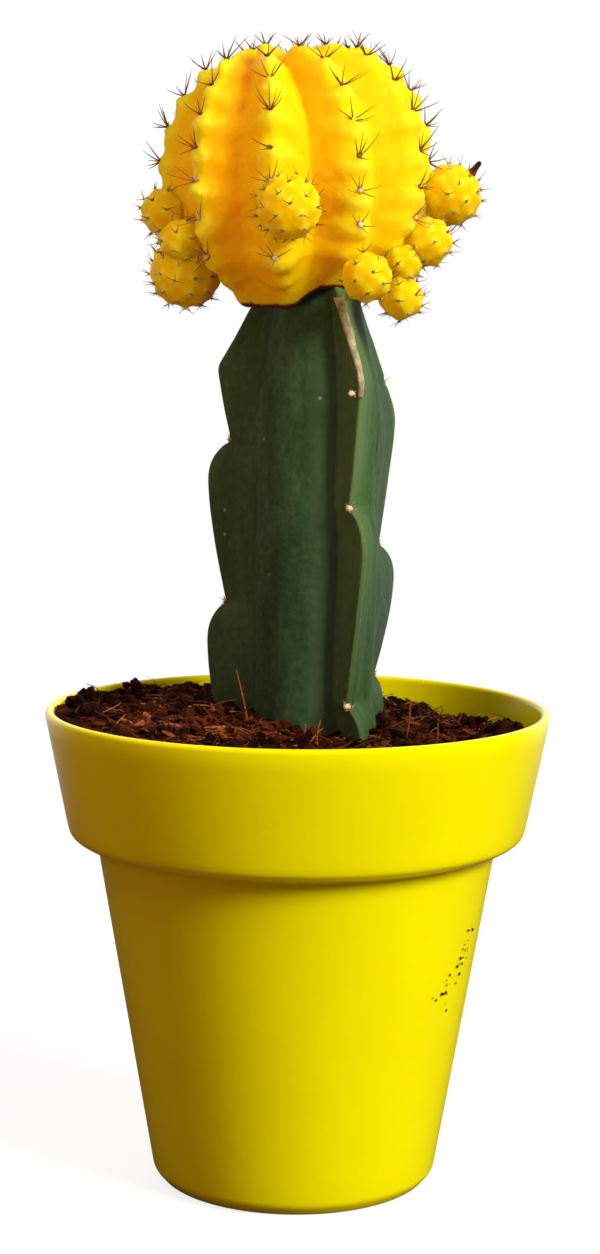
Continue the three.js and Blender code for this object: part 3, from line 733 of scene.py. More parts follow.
def wool_finish():
    """Short felted wool of the areoles: brown on the older ones, cream on the pale ones."""
    finish = Finish("areole_wool", Roughness=1.0)
    tuft = finish.grain(0.25 * MM, 4.0, 0.7)
    shade = finish.vary(finish.number("along"), tuft, 0.5)
    brown = finish.tones(shade, (0.1, 44, 20, 8), (0.5, 84, 44, 18), (0.9, 132, 82, 40))
    cream = finish.tones(shade, (0.1, 190, 140, 70), (0.5, 240, 210, 150), (0.9, 252, 240, 214))
    finish.put("Base Color", finish.blend(finish.number("pale"), brown, cream))
    finish.put("Sheen Weight", 0.3)
    finish.put("Normal", finish.bumps(tuft, 0.12 * MM, 0.9))
    return finish.material


def dry_flower_finish():
    """A withered flower, nearly black at the tip."""
    finish = Finish("dry_flower", Roughness=0.8)
    crease = finish.grain(0.35 * MM, 5.0, 0.7, (1, 1, 3))
    shade = finish.vary(finish.number("along"), crease, 0.6)
    withered = finish.tones(shade, (0.0, 150, 84, 40), (0.4, 84, 44, 28), (1.0, 36, 20, 16))
    finish.put("Base Color", withered)
    finish.put("Normal", finish.bumps(crease, 0.2 * MM, 0.9))
    return finish.material


# The pot


def rounded(points, radius, steps=4):
    """An outline of (radius, height) points with each inner corner rounded."""
    made = [points[0]]
    for before, corner, after in zip(points, points[1:], points[2:]):
        here = np.array(corner)
        a = np.array(before) - here
        b = np.array(after) - here
        reach = min(radius, 0.45 * np.linalg.norm(a), 0.45 * np.linalg.norm(b))
        start = here + a / np.linalg.norm(a) * reach
        end = here + b / np.linalg.norm(b) * reach
        for t in np.linspace(0, 1, steps + 1):
            made.append(tuple((1 - t) ** 2 * start + 2 * t * (1 - t) * here + t * t * end))
    return made + [points[-1]]


def pot_inner(clearance=0.0):
    """The outline of the pot's inner wall, from the lip down to the floor, moved in by a clearance."""
    lift = clearance * 0.8
    return [
        (RIM_RADIUS - 2 * LIP_RADIUS - clearance, RIM_Z - LIP_RADIUS),
        (COLLAR_FOOT_RADIUS - WALL - clearance, COLLAR_FOOT_Z + 0.3 * MM + lift),
        (COLLAR_FOOT_RADIUS - WALL - 0.55 * MM - clearance, COLLAR_FOOT_Z - 0.3 * MM + lift),
        (BODY_TOP_RADIUS - WALL + 0.35 * MM - clearance, BODY_TOP_Z + 1.1 * MM + lift),
        (BODY_TOP_RADIUS - WALL - clearance, BODY_TOP_Z + 0.2 * MM + lift),
        (BODY_FOOT_RADIUS - WALL + 0.2 * MM - clearance, FLOOR_TOP_Z + 0.6 * MM + lift),
        (BODY_FOOT_RADIUS - WALL - 0.4 * MM - clearance, FLOOR_TOP_Z + clearance),
    ]


def pot_outline():
    """The pot's outline from the inside of its floor, over the lip and down to the underside."""
    lip = []
    for a in np.linspace(math.pi, 0, 9):
        r = RIM_RADIUS - LIP_RADIUS + LIP_RADIUS * math.cos(a)
        lip.append((r, RIM_Z - LIP_RADIUS + LIP_RADIUS * math.sin(a)))
    outer = [
        (COLLAR_FOOT_RADIUS, COLLAR_FOOT_Z),
        (COLLAR_FOOT_RADIUS - 0.3 * MM, COLLAR_FOOT_Z - 0.95 * MM),
        (COLLAR_FOOT_RADIUS - 1.2 * MM, COLLAR_FOOT_Z - 1.6 * MM),
        (BODY_TOP_RADIUS + 0.15 * MM, BODY_TOP_Z + 0.15 * MM),
        (BODY_TOP_RADIUS - 0.3 * MM, BODY_TOP_Z - 0.8 * MM),
        (BODY_FOOT_RADIUS, BODY_FOOT_Z),
        (FOOT_RADIUS, 0),
        (FOOT_RADIUS - FOOT_RING_WIDTH, 0),
        (FOOT_RADIUS - FOOT_RING_WIDTH - 0.25 * MM, FLOOR_UNDER_Z),
    ]
    inside = rounded([(FLOOR_DISC_RADIUS, FLOOR_TOP_Z)] + pot_inner()[:0:-1] + lip[:1], 0.5 * MM)
    outside = rounded(lip[-1:] + outer + [(FLOOR_DISC_RADIUS, FLOOR_UNDER_Z)], 0.55 * MM, 5)
    return inside[:-1] + lip + outside[1:]


def dense(outline, step):
    """The outline with points added so that none is further than a step from the next."""
    made = [outline[0]]
    for a, b in zip(outline, outline[1:]):
        parts = max(1, math.ceil(math.dist(a, b) / step))
        made += [tuple(np.array(a) + (np.array(b) - np.array(a)) * i / parts) for i in range(1, parts + 1)]
    return made


def make_pot():
    """The pot's shell. Its rings run up the inner wall and down the outer one, so its faces look out."""
    outline = np.array(dense(pot_outline(), POT_STEP))
    angles = circle(POT_COLUMNS)
    shape = Shape()
    shape.skin(polar(outline[:, :1], angles, outline[:, 1:]))
    drill_drains(shape.object("pot_shell", plastic_finish(), "pot"))


def pot_side(z):
    """The radius of the pot's body at a height."""
    return mix(BODY_FOOT_RADIUS, BODY_TOP_RADIUS, (z - BODY_FOOT_Z) / (BODY_TOP_Z - BODY_FOOT_Z))


def make_specks():
    """Crumbs of dried dirt that stick to the pot's right side, in a slanting drift."""
    random = np.random.default_rng(3)
    shape = Shape()
    for _ in range(SPECK_COUNT):
        t = random.random()
        around = math.radians(mix(*SPECK_ANGLES, t) + random.normal(0, SPECK_STRAY[0]))
        z = mix(*SPECK_HEIGHTS, t) + random.normal(0, SPECK_STRAY[1])
        radius = pot_side(z) + 0.02 * MM
        size = SPECK_SIZE + SPECK_SPREAD * random.random() ** 2
        points, faces = closed_rings(lump(random, size * np.array([1.0, random.uniform(0.5, 1.0), 0.35]), 6))
        # The grain lies flat on the wall: its height points outwards.
        spin = Matrix.Rotation(random.uniform(0, TAU), 3, "Z")
        lay = Matrix.Rotation(around, 3, "Z") @ Matrix.Rotation(math.pi / 2, 3, "Y") @ spin
        shape.add(points @ np.array(lay).T + polar(radius, around, z), faces, tone=0.25 * random.random())
    shape.object("pot_specks", chip_finish(), "soil", replaces=False, smooth=False)


def drill_drains(pot):
    """Cuts the drain holes through the pot's floor."""
    shape = Shape()
    angles = circle(32)
    for i in range(DRAIN_COUNT):
        middle = polar(DRAIN_CIRCLE_RADIUS, TAU * (i + 0.5) / DRAIN_COUNT, 0)
        shape.skin([polar(DRAIN_RADIUS, angles, z) + middle for z in (FLOOR_TOP_Z + 1 * MM, -1 * MM)])
    tool = new_object("drains", shape.mesh("drains"))
    cut = pot.modifiers.new("drains", "BOOLEAN")
    cut.object = tool
    cut.operation = "DIFFERENCE"
    cut.solver = "EXACT"
    bpy.context.view_layer.update()
    apply_modifiers(pot)
    bpy.data.objects.remove(tool)


def apply_modifiers(piece):
    evaluated = piece.evaluated_get(bpy.context.evaluated_depsgraph_get())
    mesh = bpy.data.meshes.new_from_object(evaluated)
    piece.modifiers.clear()
    piece.data = mesh


# The coir mix


def soil_height(x, y):
    height = SOIL_LEVEL - SOIL_FALL * x
    for heap_x, heap_y, heap, spread in SOIL_HEAPS:
        height = height + heap * np.exp(-((x - heap_x) ** 2 + (y - heap_y) ** 2) / (2 * spread**2))
    return height


def crumb_height(x, y):
    """The soil's height with its lumps and crumbs."""
    flat = np.stack([x, y, np.zeros_like(x)], -1)
    lumps = crumple(flat, LUMP_SIZE, 1)
    crumbs = crumple(flat, CRUMB_SIZE, 2)
    return soil_height(x, y) + LUMP_HEIGHT * lumps + CRUMB_HEIGHT * np.abs(crumbs)


def crumb_height_at(x, y):
    return float(crumb_height(np.array([x]), np.array([y]))[0])


def soil_edge(z):
    """How far the soil reaches at a height, up to the pot's wall."""
    top, foot = pot_inner(SOIL_GAP)[:2]
    return mix(foot[0], top[0], (z - foot[1]) / (top[1] - foot[1]))


def make_soil():
    angles = circle(SOIL_COLUMNS)
    radius = soil_edge(SOIL_LEVEL) * np.linspace(0.004, 1, SOIL_RINGS)[:, None]
    z = crumb_height(radius * np.cos(angles), radius * np.sin(angles))
    radius = np.repeat(radius, SOIL_COLUMNS, 1)
    radius[-1] = soil_edge(z[-1])
    wall = [polar(r, angles, h) for r, h in pot_inner(SOIL_GAP)[1:]]
    shape = Shape()
    shape.skin(np.concatenate([polar(radius, angles, z), wall]))
    shape.object("coir_bed", coir_finish(), "soil")


def soil_spot(random):
    """A random place on the soil, clear of the stem and of the pot's wall."""
    while True:
        r = (RIM_RADIUS - SPOT_MARGIN) * math.sqrt(random.random())
        a = TAU * random.random()
        x = r * math.cos(a)
        y = r * math.sin(a)
        toward = math.atan2(y, x - STEM_X)
        if math.hypot(x - STEM_X, y) > stem_radius_at(toward, SOIL_LEVEL) + STEM_MARGIN:
            return x, y


def turn(random):
    """A random turn, mostly about the upright axis."""
    tilt = Matrix.Rotation(random.uniform(-0.5, 0.5), 3, "X")
    tilt = tilt @ Matrix.Rotation(random.uniform(-0.5, 0.5), 3, "Y")
    return np.array(tilt @ Matrix.Rotation(random.uniform(0, TAU), 3, "Z"))


def lump(random, radii, sides=7):
    """The rings of an irregular lump about the origin: flat radii give a chip, even ones a clod."""
    angles = circle(sides)
    rings = []
    for level, share in ((0.92, 0.45), (0.5, 0.9), (0.0, 1.05), (-0.5, 0.85), (-0.9, 0.4)):
        wobble = random.uniform(0.68, 1.2, sides)
        rings.append(np.stack([
            radii[0] * share * wobble * np.cos(angles),
            radii[1] * share * wobble * np.sin(angles),
            radii[2] * (level + random.uniform(-0.16, 0.16, sides)),
        ], -1))
    return np.array(rings)


def add_lump(shape, random, place, radii, tone):
    points, faces = closed_rings(lump(random, radii))
    shape.add(points @ turn(random).T + np.array(place), faces, tone=tone)


def make_clods():
    """Dark clods of crumb, half sunk in the bed, with a few large ones at the rim."""
    random = np.random.default_rng(7)
    shape = Shape()
    for _ in range(CLOD_COUNT):
        x, y = soil_spot(random)
        size = CLOD_SIZE + CLOD_SPREAD * random.random() ** 3
        place = (x, y, crumb_height_at(x, y) + 0.1 * size)
        add_lump(shape, random, place, size * random.uniform(0.65, 1.15, 3), 0.62 * random.random() ** 1.3)
    for *middle, radius in BIG_CLODS:
        for _ in range(BIG_CLOD_PARTS):
            place = np.array(middle) + random.normal(0, 0.42, 3) * radius * np.array([1, 1, 0.6])
            size = radius * random.uniform(0.2, 0.5)
            add_lump(shape, random, place, size * random.uniform(0.7, 1.1, 3), 0.34 * random.random())
    shape.object("coir_clods", chip_finish(), "soil", smooth=False)


def make_chips():
    """Thin splinters of coir with rough ends; one in three lies in the heap at the left and is paler."""
    random = np.random.default_rng(11)
    shape = Shape()
    heap_x, heap_y, heap_size = CHIP_HEAP
    for k in range(CHIP_COUNT):
        in_heap = k % 3 == 0
        x, y = soil_spot(random)
        if in_heap:
            x = heap_x + random.normal(0, heap_size * 0.6)
            y = heap_y + random.normal(0, heap_size * 0.4)
        if math.hypot(x, y) > RIM_RADIUS - CHIP_MARGIN:
            continue
        length = CHIP_SIZE + CHIP_SPREAD * random.random() ** 2
        radii = (length, length * random.uniform(0.16, 0.4), length * random.uniform(0.08, 0.2))
        tone = random.uniform(0.4, 0.88) if in_heap else 0.8 * random.random()
        add_lump(shape, random, (x, y, crumb_height_at(x, y) + 0.25 * MM), radii, tone)
    shape.object("coir_chips", chip_finish(), "soil", smooth=False)


def thread(line, radius, sides=4, tip=0.4):
    """The rings of a thin fibre along a line of points, narrower towards its ends."""
    line = np.asarray(line, float)
    along = np.gradient(line, axis=0)
    along /= np.linalg.norm(along, axis=1, keepdims=True)
    up = np.array([0.0, 0.0, 1.0]) if abs(along[0][2]) < 0.8 else np.array([1.0, 0.0, 0.0])
    rings = []
    for i, (p, d) in enumerate(zip(line, along)):
        side = np.cross(d, up)
        side /= np.linalg.norm(side)
        over = np.cross(side, d)
        share = i / (len(line) - 1)
        r = radius * mix(tip, 1, math.sin(math.pi * min(1, 0.15 + share * 0.8)) ** 0.7)
        a = circle(sides)[:, None]
        rings.append(p + r * (np.cos(a) * side - np.sin(a) * over))
    return np.array(rings)


def make_fibres():
    """Husk fibres that lie on and between the chips, some with an end in the air."""
    random = np.random.default_rng(23)
    shape = Shape()
    for _ in range(FIBRE_COUNT):
        x, y = soil_spot(random)
        length = random.uniform(*FIBRE_LENGTHS)
        heading = random.uniform(0, TAU)
        bend = random.uniform(-FIBRE_BEND, FIBRE_BEND)
        rise = FIBRE_RISE * random.uniform(0, 1.0) ** 5
        z = crumb_height_at(x, y)
        points = []
        for t in np.linspace(0, 1, 7):
            a = heading + bend * t
            points.append((
                x + length * t * math.cos(a),
                y + length * t * math.sin(a),
                z + 0.1 * MM + length * rise * t * (1 - 0.4 * t),
            ))
        line = np.array(points)
        if np.hypot(line[:, 0], line[:, 1]).max() > RIM_RADIUS - FIBRE_MARGIN:
            continue
        ground = crumb_height(line[:, 0], line[:, 1]) + FIBRE_LIFT
        line[:, 2] = np.maximum(line[:, 2], ground) if rise > 0.05 else ground
        radius = random.uniform(*FIBRE_RADII) * MM
        shape.skin(thread(line, radius, 3), tone=random.uniform(0.35, 0.95))
    for line in LEANING_FIBRES:
        shape.skin(thread(smooth_line(line, 4)[0], LEANING_RADIUS, 5), tone=0.8)
    shape.object("coir_fibres", chip_finish(), "soil")


# The stem


def lobe_form(wing, z):
    """How far a lobe is swollen at a height, from 0 at its notch to 1, and the wing's reach there."""
    share = np.full_like(z, 0.8)
    reach = np.full_like(z, wing["notches"][-1][1] * MM)
    for upper, lower, lobe in zip(wing["notches"], wing["notches"][1:], wing["lobes"]):
        below = (upper[0] * MM - z) / ((upper[0] - lower[0]) * MM)
        # A lobe rounds out quickly under its notch and narrows slowly down to the next one.
        swell = (1 - (1 - clamp01(below / SWELL_SHARE)) ** 2.2) ** 0.7
        narrowing = 1 - clamp01((below - SWELL_SHARE) / (1 - SWELL_SHARE)) ** 1.5
        inside = (below >= 0) & (below < 1)
        swollen = below < SWELL_SHARE
        share = np.where(inside, np.where(swollen, swell, narrowing), share)
        notch = np.where(swollen, upper[1], lower[1]) * MM
        reach = np.where(inside, mix(notch, lobe * MM, share), reach)
    return share, reach


def wing_reach(wing, z):
    shoulder, slope = wing["shoulder"]
    cut = shoulder + slope * (STEM_TOP_Z - z)
    buried = mix(BURIED_SHARE, 1, ease(z, STEM_FOOT_Z, BURIED_HEIGHT))
    return soft_min(lobe_form(wing, z)[1] * buried, cut, SHOULDER_ROUNDNESS)


def wing_angle(wing, z):
    waver = WAVER * np.sin(z / WAVER_LENGTH + wing["angle"])
    bend = SHOULDER_TURN * ease(z, SHOULDER_TURN_Z, SHOULDER_TURN_HEIGHT) if wing["sway"] else 0
    return np.radians(wing["angle"] + wing["sway"] * (lobe_form(wing, z)[0] * 2 - 1) + waver - bend)


def stem_radius(wing, away, reach, z):
    """The stem's radius at an angle away from a wing's edge."""
    bulge = STEM_CORE_BULGE * np.cos(wing_angle(wing, z) + away - STEM_BULGE_ANGLE)
    core = (STEM_CORE_RADIUS + bulge) * mix(CORE_TOP_SHARE, 1, ease(STEM_TOP_Z - z, 0, CORE_TAPER_HEIGHT))
    side = np.abs(away)
    flare = np.where(away < 0, *wing["flare"])
    flank = (WING_EDGE_HALF + flare * reach) / (np.sin(side) + flare * np.cos(side))
    return soft_min(soft_max(flank, core, GROOVE_ROUNDNESS), reach, EDGE_ROUNDNESS)


def stem_radius_at(angle, z):
    """The stem's radius in a direction, from the wings near enough to shape it."""
    height = np.array([z])
    best = 0.0
    for wing in WINGS:
        away = (angle - wing_angle(wing, height) + math.pi) % TAU - math.pi
        if abs(away[0]) <= math.pi / 3 + 0.1:
            best = max(best, stem_radius(wing, away, wing_reach(wing, height), height)[0])
    return best


def bloom(wing, side, away, z):
    """How much pale painted sheen, a reflection painted into the colour, lies on a flank of a wing and on
    the face beside it, from 0 to 1.
    """
    turned = np.degrees(away)
    near = ease(turned, SHEEN_FROM, SHEEN_WIDTH) * (1 - ease(turned, SHEEN_FADE_FROM, SHEEN_FADE_WIDTH))
    return near * wing["bloom"][side] * ease(STEM_TOP_Z - z, 0, SHEEN_TOP)


def brightness(wing, side, face, share, z):
    """How much painted light the skin has at a share of the way from a wing's edge to the middle of a face:
    more on a lit flank, less on a shaded one.
    """
    at_edge = wing["bright"][side] * mix(PAINTED_SHADE_SHARE, 1, ease(z, PAINTED_SHADE_Z, BRIGHTEN_HEIGHT))
    return mix(at_edge, face, share)


def stem_line(wing, side, half, face, share, z):
    """A line down the skin: its angle from the edge, its radius, how near the edge it is, and its painted
    sheen and painted light.
    """
    away = share * half
    turned = away if side else -away
    radius = stem_radius(wing, turned, wing_reach(wing, z), z)
    edge = np.full_like(z, 1 - share)
    return turned, radius, edge, bloom(wing, side, away, z), brightness(wing, side, face, share, z)


def make_stem():
    z = np.linspace(STEM_TOP_Z, STEM_FOOT_Z, STEM_ROWS)
    shares = np.linspace(0, 1, STEM_SHARES) ** STEM_CROWDING
    lines = []
    for i, wing in enumerate(WINGS):
        following = WINGS[(i + 1) % len(WINGS)]
        start = wing_angle(wing, z)
        end = wing_angle(following, z)
        end = np.where(end < start, end + TAU, end)
        half = (end - start) / 2
        face = FACE_SHARE * min(wing["bright"][1], following["bright"][0])
        for share in shares[:-1]:
            turned, *rest = stem_line(wing, 1, half, face, share, z)
            lines.append((start + turned, *rest))
        middle = mix(wing_reach(wing, z), wing_reach(following, z), 0.5)
        level = np.zeros_like(z)
        lines.append((start + half, stem_radius(wing, half, middle, z), level, level, level + face))
        for share in shares[-2:0:-1]:
            turned, *rest = stem_line(following, 0, half, face, share, z)
            lines.append((end + turned, *rest))
    # The fourth column is the painted sheen, the fifth the painted light and shade of the skin.
    angle, radius, edge, pale, bright = np.array(lines).transpose(1, 2, 0)
    # The skin is drawn out along the stem, so the noise is squeezed along Z.
    drawn = polar(radius, angle, z[:, None]) * np.array([1, 1, 0.3])
    radius = radius + STEM_RELIEF * crumple(drawn, STEM_RELIEF_SIZE, 3)
    radius = radius + STEM_GRAIN * crumple(drawn, STEM_GRAIN_SIZE, 4, 2)
    rings = polar(radius, angle, z[:, None]) + np.array([STEM_X, 0, 0])
    shape = Shape()
    shape.skin(rings, edge=with_ends(edge), bloom=with_ends(pale), bright=with_ends(bright))
    shape.object("stem_skin", stem_finish(), "rootstock")


def stem_point(wing, z, out=0.0, aside=0.0):
    """A point on the edge of a wing, moved out from the stem and sideways round it."""
    height = np.array([z])
    reach = float(wing_reach(wing, height)[0]) + out
    angle = float(wing_angle(wing, height)[0])
    across = Vector((-math.sin(angle), math.cos(angle), 0))
    return Vector((STEM_X + reach * math.cos(angle), reach * math.sin(angle), z)) + across * aside


def make_scar():
    """The strip of dry cork down the front wing's bevelled shoulder."""
    wing = WINGS[FRONT_WING]
    sides = 9
    rings = []
    for z in np.linspace(SCAR_TOP_Z, SCAR_FOOT_Z, 60):
        share = (SCAR_TOP_Z - z) / (SCAR_TOP_Z - SCAR_FOOT_Z)
        uneven = SCAR_UNEVEN * noise.noise(Vector((0, 0, z / SCAR_UNEVEN_LENGTH)))
        half = mix(*SCAR_HALVES, share) * (1 + uneven)
        shift = SCAR_STRAY * noise.noise(Vector((3, 0, z / SCAR_STRAY_LENGTH)))
        ring = []
        for k in range(sides):
            a = TAU * k / sides
            out = (SCAR_ABOVE if math.sin(a) > 0 else SCAR_BELOW) * MM * math.sin(a) + 0.02 * MM
            ring.append(stem_point(wing, z, out, shift + half * math.cos(a)))
        rings.append(ring[::-1])
    shape = Shape()
    shape.skin(rings)
    shape.object("shoulder_scar", cork_finish(), "rootstock")


# Areoles, spines and wool


def frame_along(direction):
    """A direction and two across it: the one turned as far up as it can be, and the one to its side."""
    n = Vector(direction).normalized()
    pole = Vector((0, 0, 1)) if abs(n.z) < 0.999 else Vector((0, 1, 0))
    up = (pole - n * n.dot(pole)).normalized()
    return n, up, up.cross(n)


def add_spine(shape, root, direction, curl, length, radius, pale=0.0, sides=5):
    """One curved spine, sunk a little at its root and drawn out to a point."""
    n, up, side = frame_along(direction)
    rings = []
    shares = (1.0, 0.85, 0.6, 0.35, 0.12, -0.12)
    turns = circle(sides)
    for t in shares:
        centre = root + n * (length * t) + Vector(curl) * (length * t * abs(t))
        r = radius * (0.15 + 0.85 * (1 - max(t, 0)) ** 0.8)
        rings.append([centre + spoke(side, up, a) * r for a in turns])
    along = np.repeat(np.maximum(shares, 0), sides)
    shape.skin(rings, along=with_ends(along, 1, 0), pale=pale)


def add_tuft(shape, at, normal, radius, height, seed, pale=0.0, fibres=10):
    """A cushion of wool on an areole with short curly hairs out of it."""
    n, up, side = frame_along(normal)
    random = np.random.default_rng(seed)
    sides = 9
    rings = []
    for level, share in ((1.0, 0.3), (0.8, 0.72), (0.35, 1.0), (-0.5, 0.85)):
        wobble = random.uniform(0.82, 1.15, sides)
        ring = []
        for k in range(sides):
            a = TAU * k / sides
            flat = (side * math.cos(a) + up * (0.8 * math.sin(a))) * (radius * share * wobble[k])
            ring.append(at + flat + n * (height * level))
        rings.append(ring)
    along = np.repeat([0.9, 0.6, 0.3, 0.0], sides)
    shape.skin(rings, along=with_ends(along, 1, 0), pale=pale)
    for _ in range(fibres):
        a = random.uniform(0, TAU)
        out = random.uniform(0.1, 0.9)
        start = at + spoke(side, up, a) * (radius * out) + n * (height * 0.3)
        lean = side * math.cos(a + random.uniform(-1, 1)) + up * math.sin(a + random.uniform(-1, 1))
        tip = n * (height * random.uniform(0.6, 1.4)) + lean * (radius * random.uniform(0.3, 1.0))
        bow = lean.cross(n) * (radius * random.uniform(-0.5, 0.5))
        hair = thread([start, start + tip * 0.5 + bow, start + tip], HAIR_RADIUS, 3, 0.5)
        shape.skin(hair, along=random.uniform(0.4, 1.0), pale=pale)


def make_stem_areoles():
    """The small felted areoles in the stem's notches, with a few tiny spines each."""
    wool = Shape()
    spines = Shape()
    beside = stem_point(WINGS[FRONT_WING], SIDE_AREOLE_Z, -0.35 * MM, -1.0 * MM)
    add_tuft(wool, beside, Vector((0, -1, 0.3)), 0.42 * MM, 0.25 * MM, 490, 0.9, STEM_TUFT_HAIRS)
    for w, wing in enumerate(WINGS):
        for i, (height, _) in enumerate(wing["notches"]):
            z = height * MM
            if not STEM_AREOLES_Z[0] < z < STEM_AREOLES_Z[1]:
                continue
            angle = float(wing_angle(wing, np.array([z]))[0])
            outward = Vector((math.cos(angle), math.sin(angle), 0.35))
            at = stem_point(wing, z + 0.15 * MM, -0.05 * MM)
            seed = 500 + 10 * w + i
            add_tuft(wool, at, outward, STEM_TUFT_RADIUS, STEM_TUFT_HEIGHT, seed, 0.75, STEM_TUFT_HAIRS)
            n, up, side = frame_along(outward)
            for k in range(3):
                fan = math.radians(-70 + 70 * k + 30 * draw(w, i, k))
                direction = n + spoke(up, side, fan) * 0.9
                length = (0.7 + 0.5 * draw(w, i, k + 9)) * MM
                add_spine(spines, at, direction, up * 0.1, length, STEM_SPINE_RADIUS, 0.2, 4)
    wool.object("stem_areoles", wool_finish(), "rootstock")
    spines.object("stem_spines", spine_finish(), "rootstock")


# The ball

LINE, FAR = smooth_line(BALL_OUTLINE)
OUTLINE_LENGTH = FAR[-1]
SLOPE = np.gradient(LINE, FAR, axis=0)


def rib_angle(turns, s):
    """The angle of a place among the ribs, counted in ribs, at a distance from the apex."""
    even = FIRST_RIB_ANGLE + TAU * turns / RIB_COUNT
    long, short = RIB_WAVE_LENGTHS
    waves = np.sin(3 * even + s / long) + 0.7 * np.sin(5 * even - s / short + 1)
    twist = CROWN_TWIST * np.minimum(4, (CROWN_TWIST_AT / s) ** 2)
    return even + RIB_WAVER * waves + twist


def areole_distance(rib, j):
    """The distance from the apex of one areole of one rib."""
    first = FIRST_AREOLE + FIRST_AREOLE_STRAY * (draw(rib, 7) - 0.5)
    return first + AREOLE_SPACING * j + AREOLE_STRAY * (draw(rib, j, 3) - 0.5)


def areole_count(rib):
    return math.floor((LAST_AREOLE - areole_distance(rib, 0)) / AREOLE_SPACING) + 1


FIRST_DISTANCES = np.array([areole_distance(rib, 0) for rib in range(RIB_COUNT)])


def valley_depth(turns, s):
    """The depth of the furrows: shallow near the apex, and nearly none at the graft."""
    t = s / OUTLINE_LENGTH
    share = np.array(FURROW_SHARES)[np.floor(turns).astype(int) % RIB_COUNT]
    top = mix(APEX_FURROW, 1, ease(t, 0, 0.3))
    bottom = mix(1, GRAFT_FURROW, ease(t, 0.6, 0.24))
    return share * RIB_DEPTH * top * bottom


def orange_shade(turns, valley):
    """How orange the skin is on the flank that a place lies on: partly its own colour, partly painted shade.
    """
    flank = np.floor(2 * turns).astype(int) % (2 * RIB_COUNT)
    return np.array(FURROW_ORANGE_SHADE).reshape(-1)[flank] * ease(valley, 0, 0.4)


def rib_lift(turns, s):
    """How far the lower end of the ribs is lifted, eased from each rib to the next."""
    lifts = np.array(RIB_LIFTS) * MM
    here = np.floor(turns).astype(int)
    lift = mix(lifts[here % RIB_COUNT], lifts[(here + 1) % RIB_COUNT], ease(turns - here))
    t = s / OUTLINE_LENGTH
    return lift * ease(t, 0.5, 0.3) * ease(0.97 - t, 0, 0.12)


def ball_point(turns, s):
    """Points of the ball's skin, how orange each is (partly painted shade), and how far up a tubercle it
    lies.
    """
    turns, s = np.broadcast_arrays(np.asarray(turns, float), np.asarray(s, float))
    angle = rib_angle(turns, s)
    r = np.interp(s, FAR, LINE[:, 0])
    z = np.interp(s, FAR, LINE[:, 1])
    along_r = np.interp(s, FAR, SLOPE[:, 0])
    along_z = np.interp(s, FAR, SLOPE[:, 1])
    rib = np.round(turns)
    phase = turns - rib
    name = rib.astype(int) % RIB_COUNT
    # Flat flanks from one furrow to the next, rounded over at the crest.
    blunt = CREST_ROUNDNESS
    valley = (np.hypot(2 * phase, blunt) - blunt) / (math.hypot(1, blunt) - blunt)
    round_foot = np.array(FURROW_ROUNDNESS)[np.floor(turns).astype(int) % RIB_COUNT]
    valley = 1 - (np.hypot(1 - valley, round_foot) - round_foot) / (np.hypot(1, round_foot) - round_foot)
    crest = np.cos(math.pi * phase) ** 2
    below = (s - FIRST_DISTANCES[name]) / AREOLE_SPACING
    swell = 0.5 + 0.5 * np.cos(TAU * (below - TUBERCLE_SHIFT))
    crown = mix(0.6, 1, ease(s, 4 * MM, 8 * MM))
    fade = crown * ease(s, 1.5 * MM, 3 * MM) * ease(OUTLINE_LENGTH - 10 * MM - s, 0, 4 * MM)
    nearest = np.round(below - TUBERCLE_SHIFT)
    size = 0.6 + 0.7 * np.modf(np.abs(np.sin(nearest * 78.2 + name * 12.9)) * 43.7)[0]
    tubercle = fade * size * (crest**1.5 * swell + 0.25 * crest**0.5 * (swell - 0.5))
    sunk = valley_depth(turns, s) * valley - TUBERCLE_HEIGHT * tubercle
    # The outline runs down from the apex, so its outward normal is its tangent turned a quarter.
    radius = r + sunk * along_z
    height = z - sunk * along_r + rib_lift(turns, s)
    over = height - BALL_WAIST_Z
    x = radius * np.cos(angle) + BALL_LEAN * np.maximum(over, 0)
    height = height + CROWN_TILT * x * ease(over, 0, 10 * MM)
    points = np.stack([BALL_X + x, radius * np.sin(angle), height], -1)
    return points, orange_shade(turns, valley), swell * crest * fade


def ball_areoles():
    """The ball's areoles: the number, point, outward normal and distance from the apex of each."""
    places = []
    spread = 0.4 * MM
    for rib in range(RIB_COUNT):
        for j in range(areole_count(rib)):
            s = areole_distance(rib, j)
            angle = float(rib_angle(rib, s))
            at = Vector(ball_point(rib, s)[0])
            down = Vector(ball_point(rib, s + spread)[0]) - Vector(ball_point(rib, s - spread)[0])
            across = Vector((-math.sin(angle), math.cos(angle), 0))
            normal = down.cross(across).normalized()
            covered = any((at - Vector(o[:3])).length < o[3] for o in OFFSETS)
            if not covered:
                places.append((rib * 20 + j, at, normal, s))
    return places


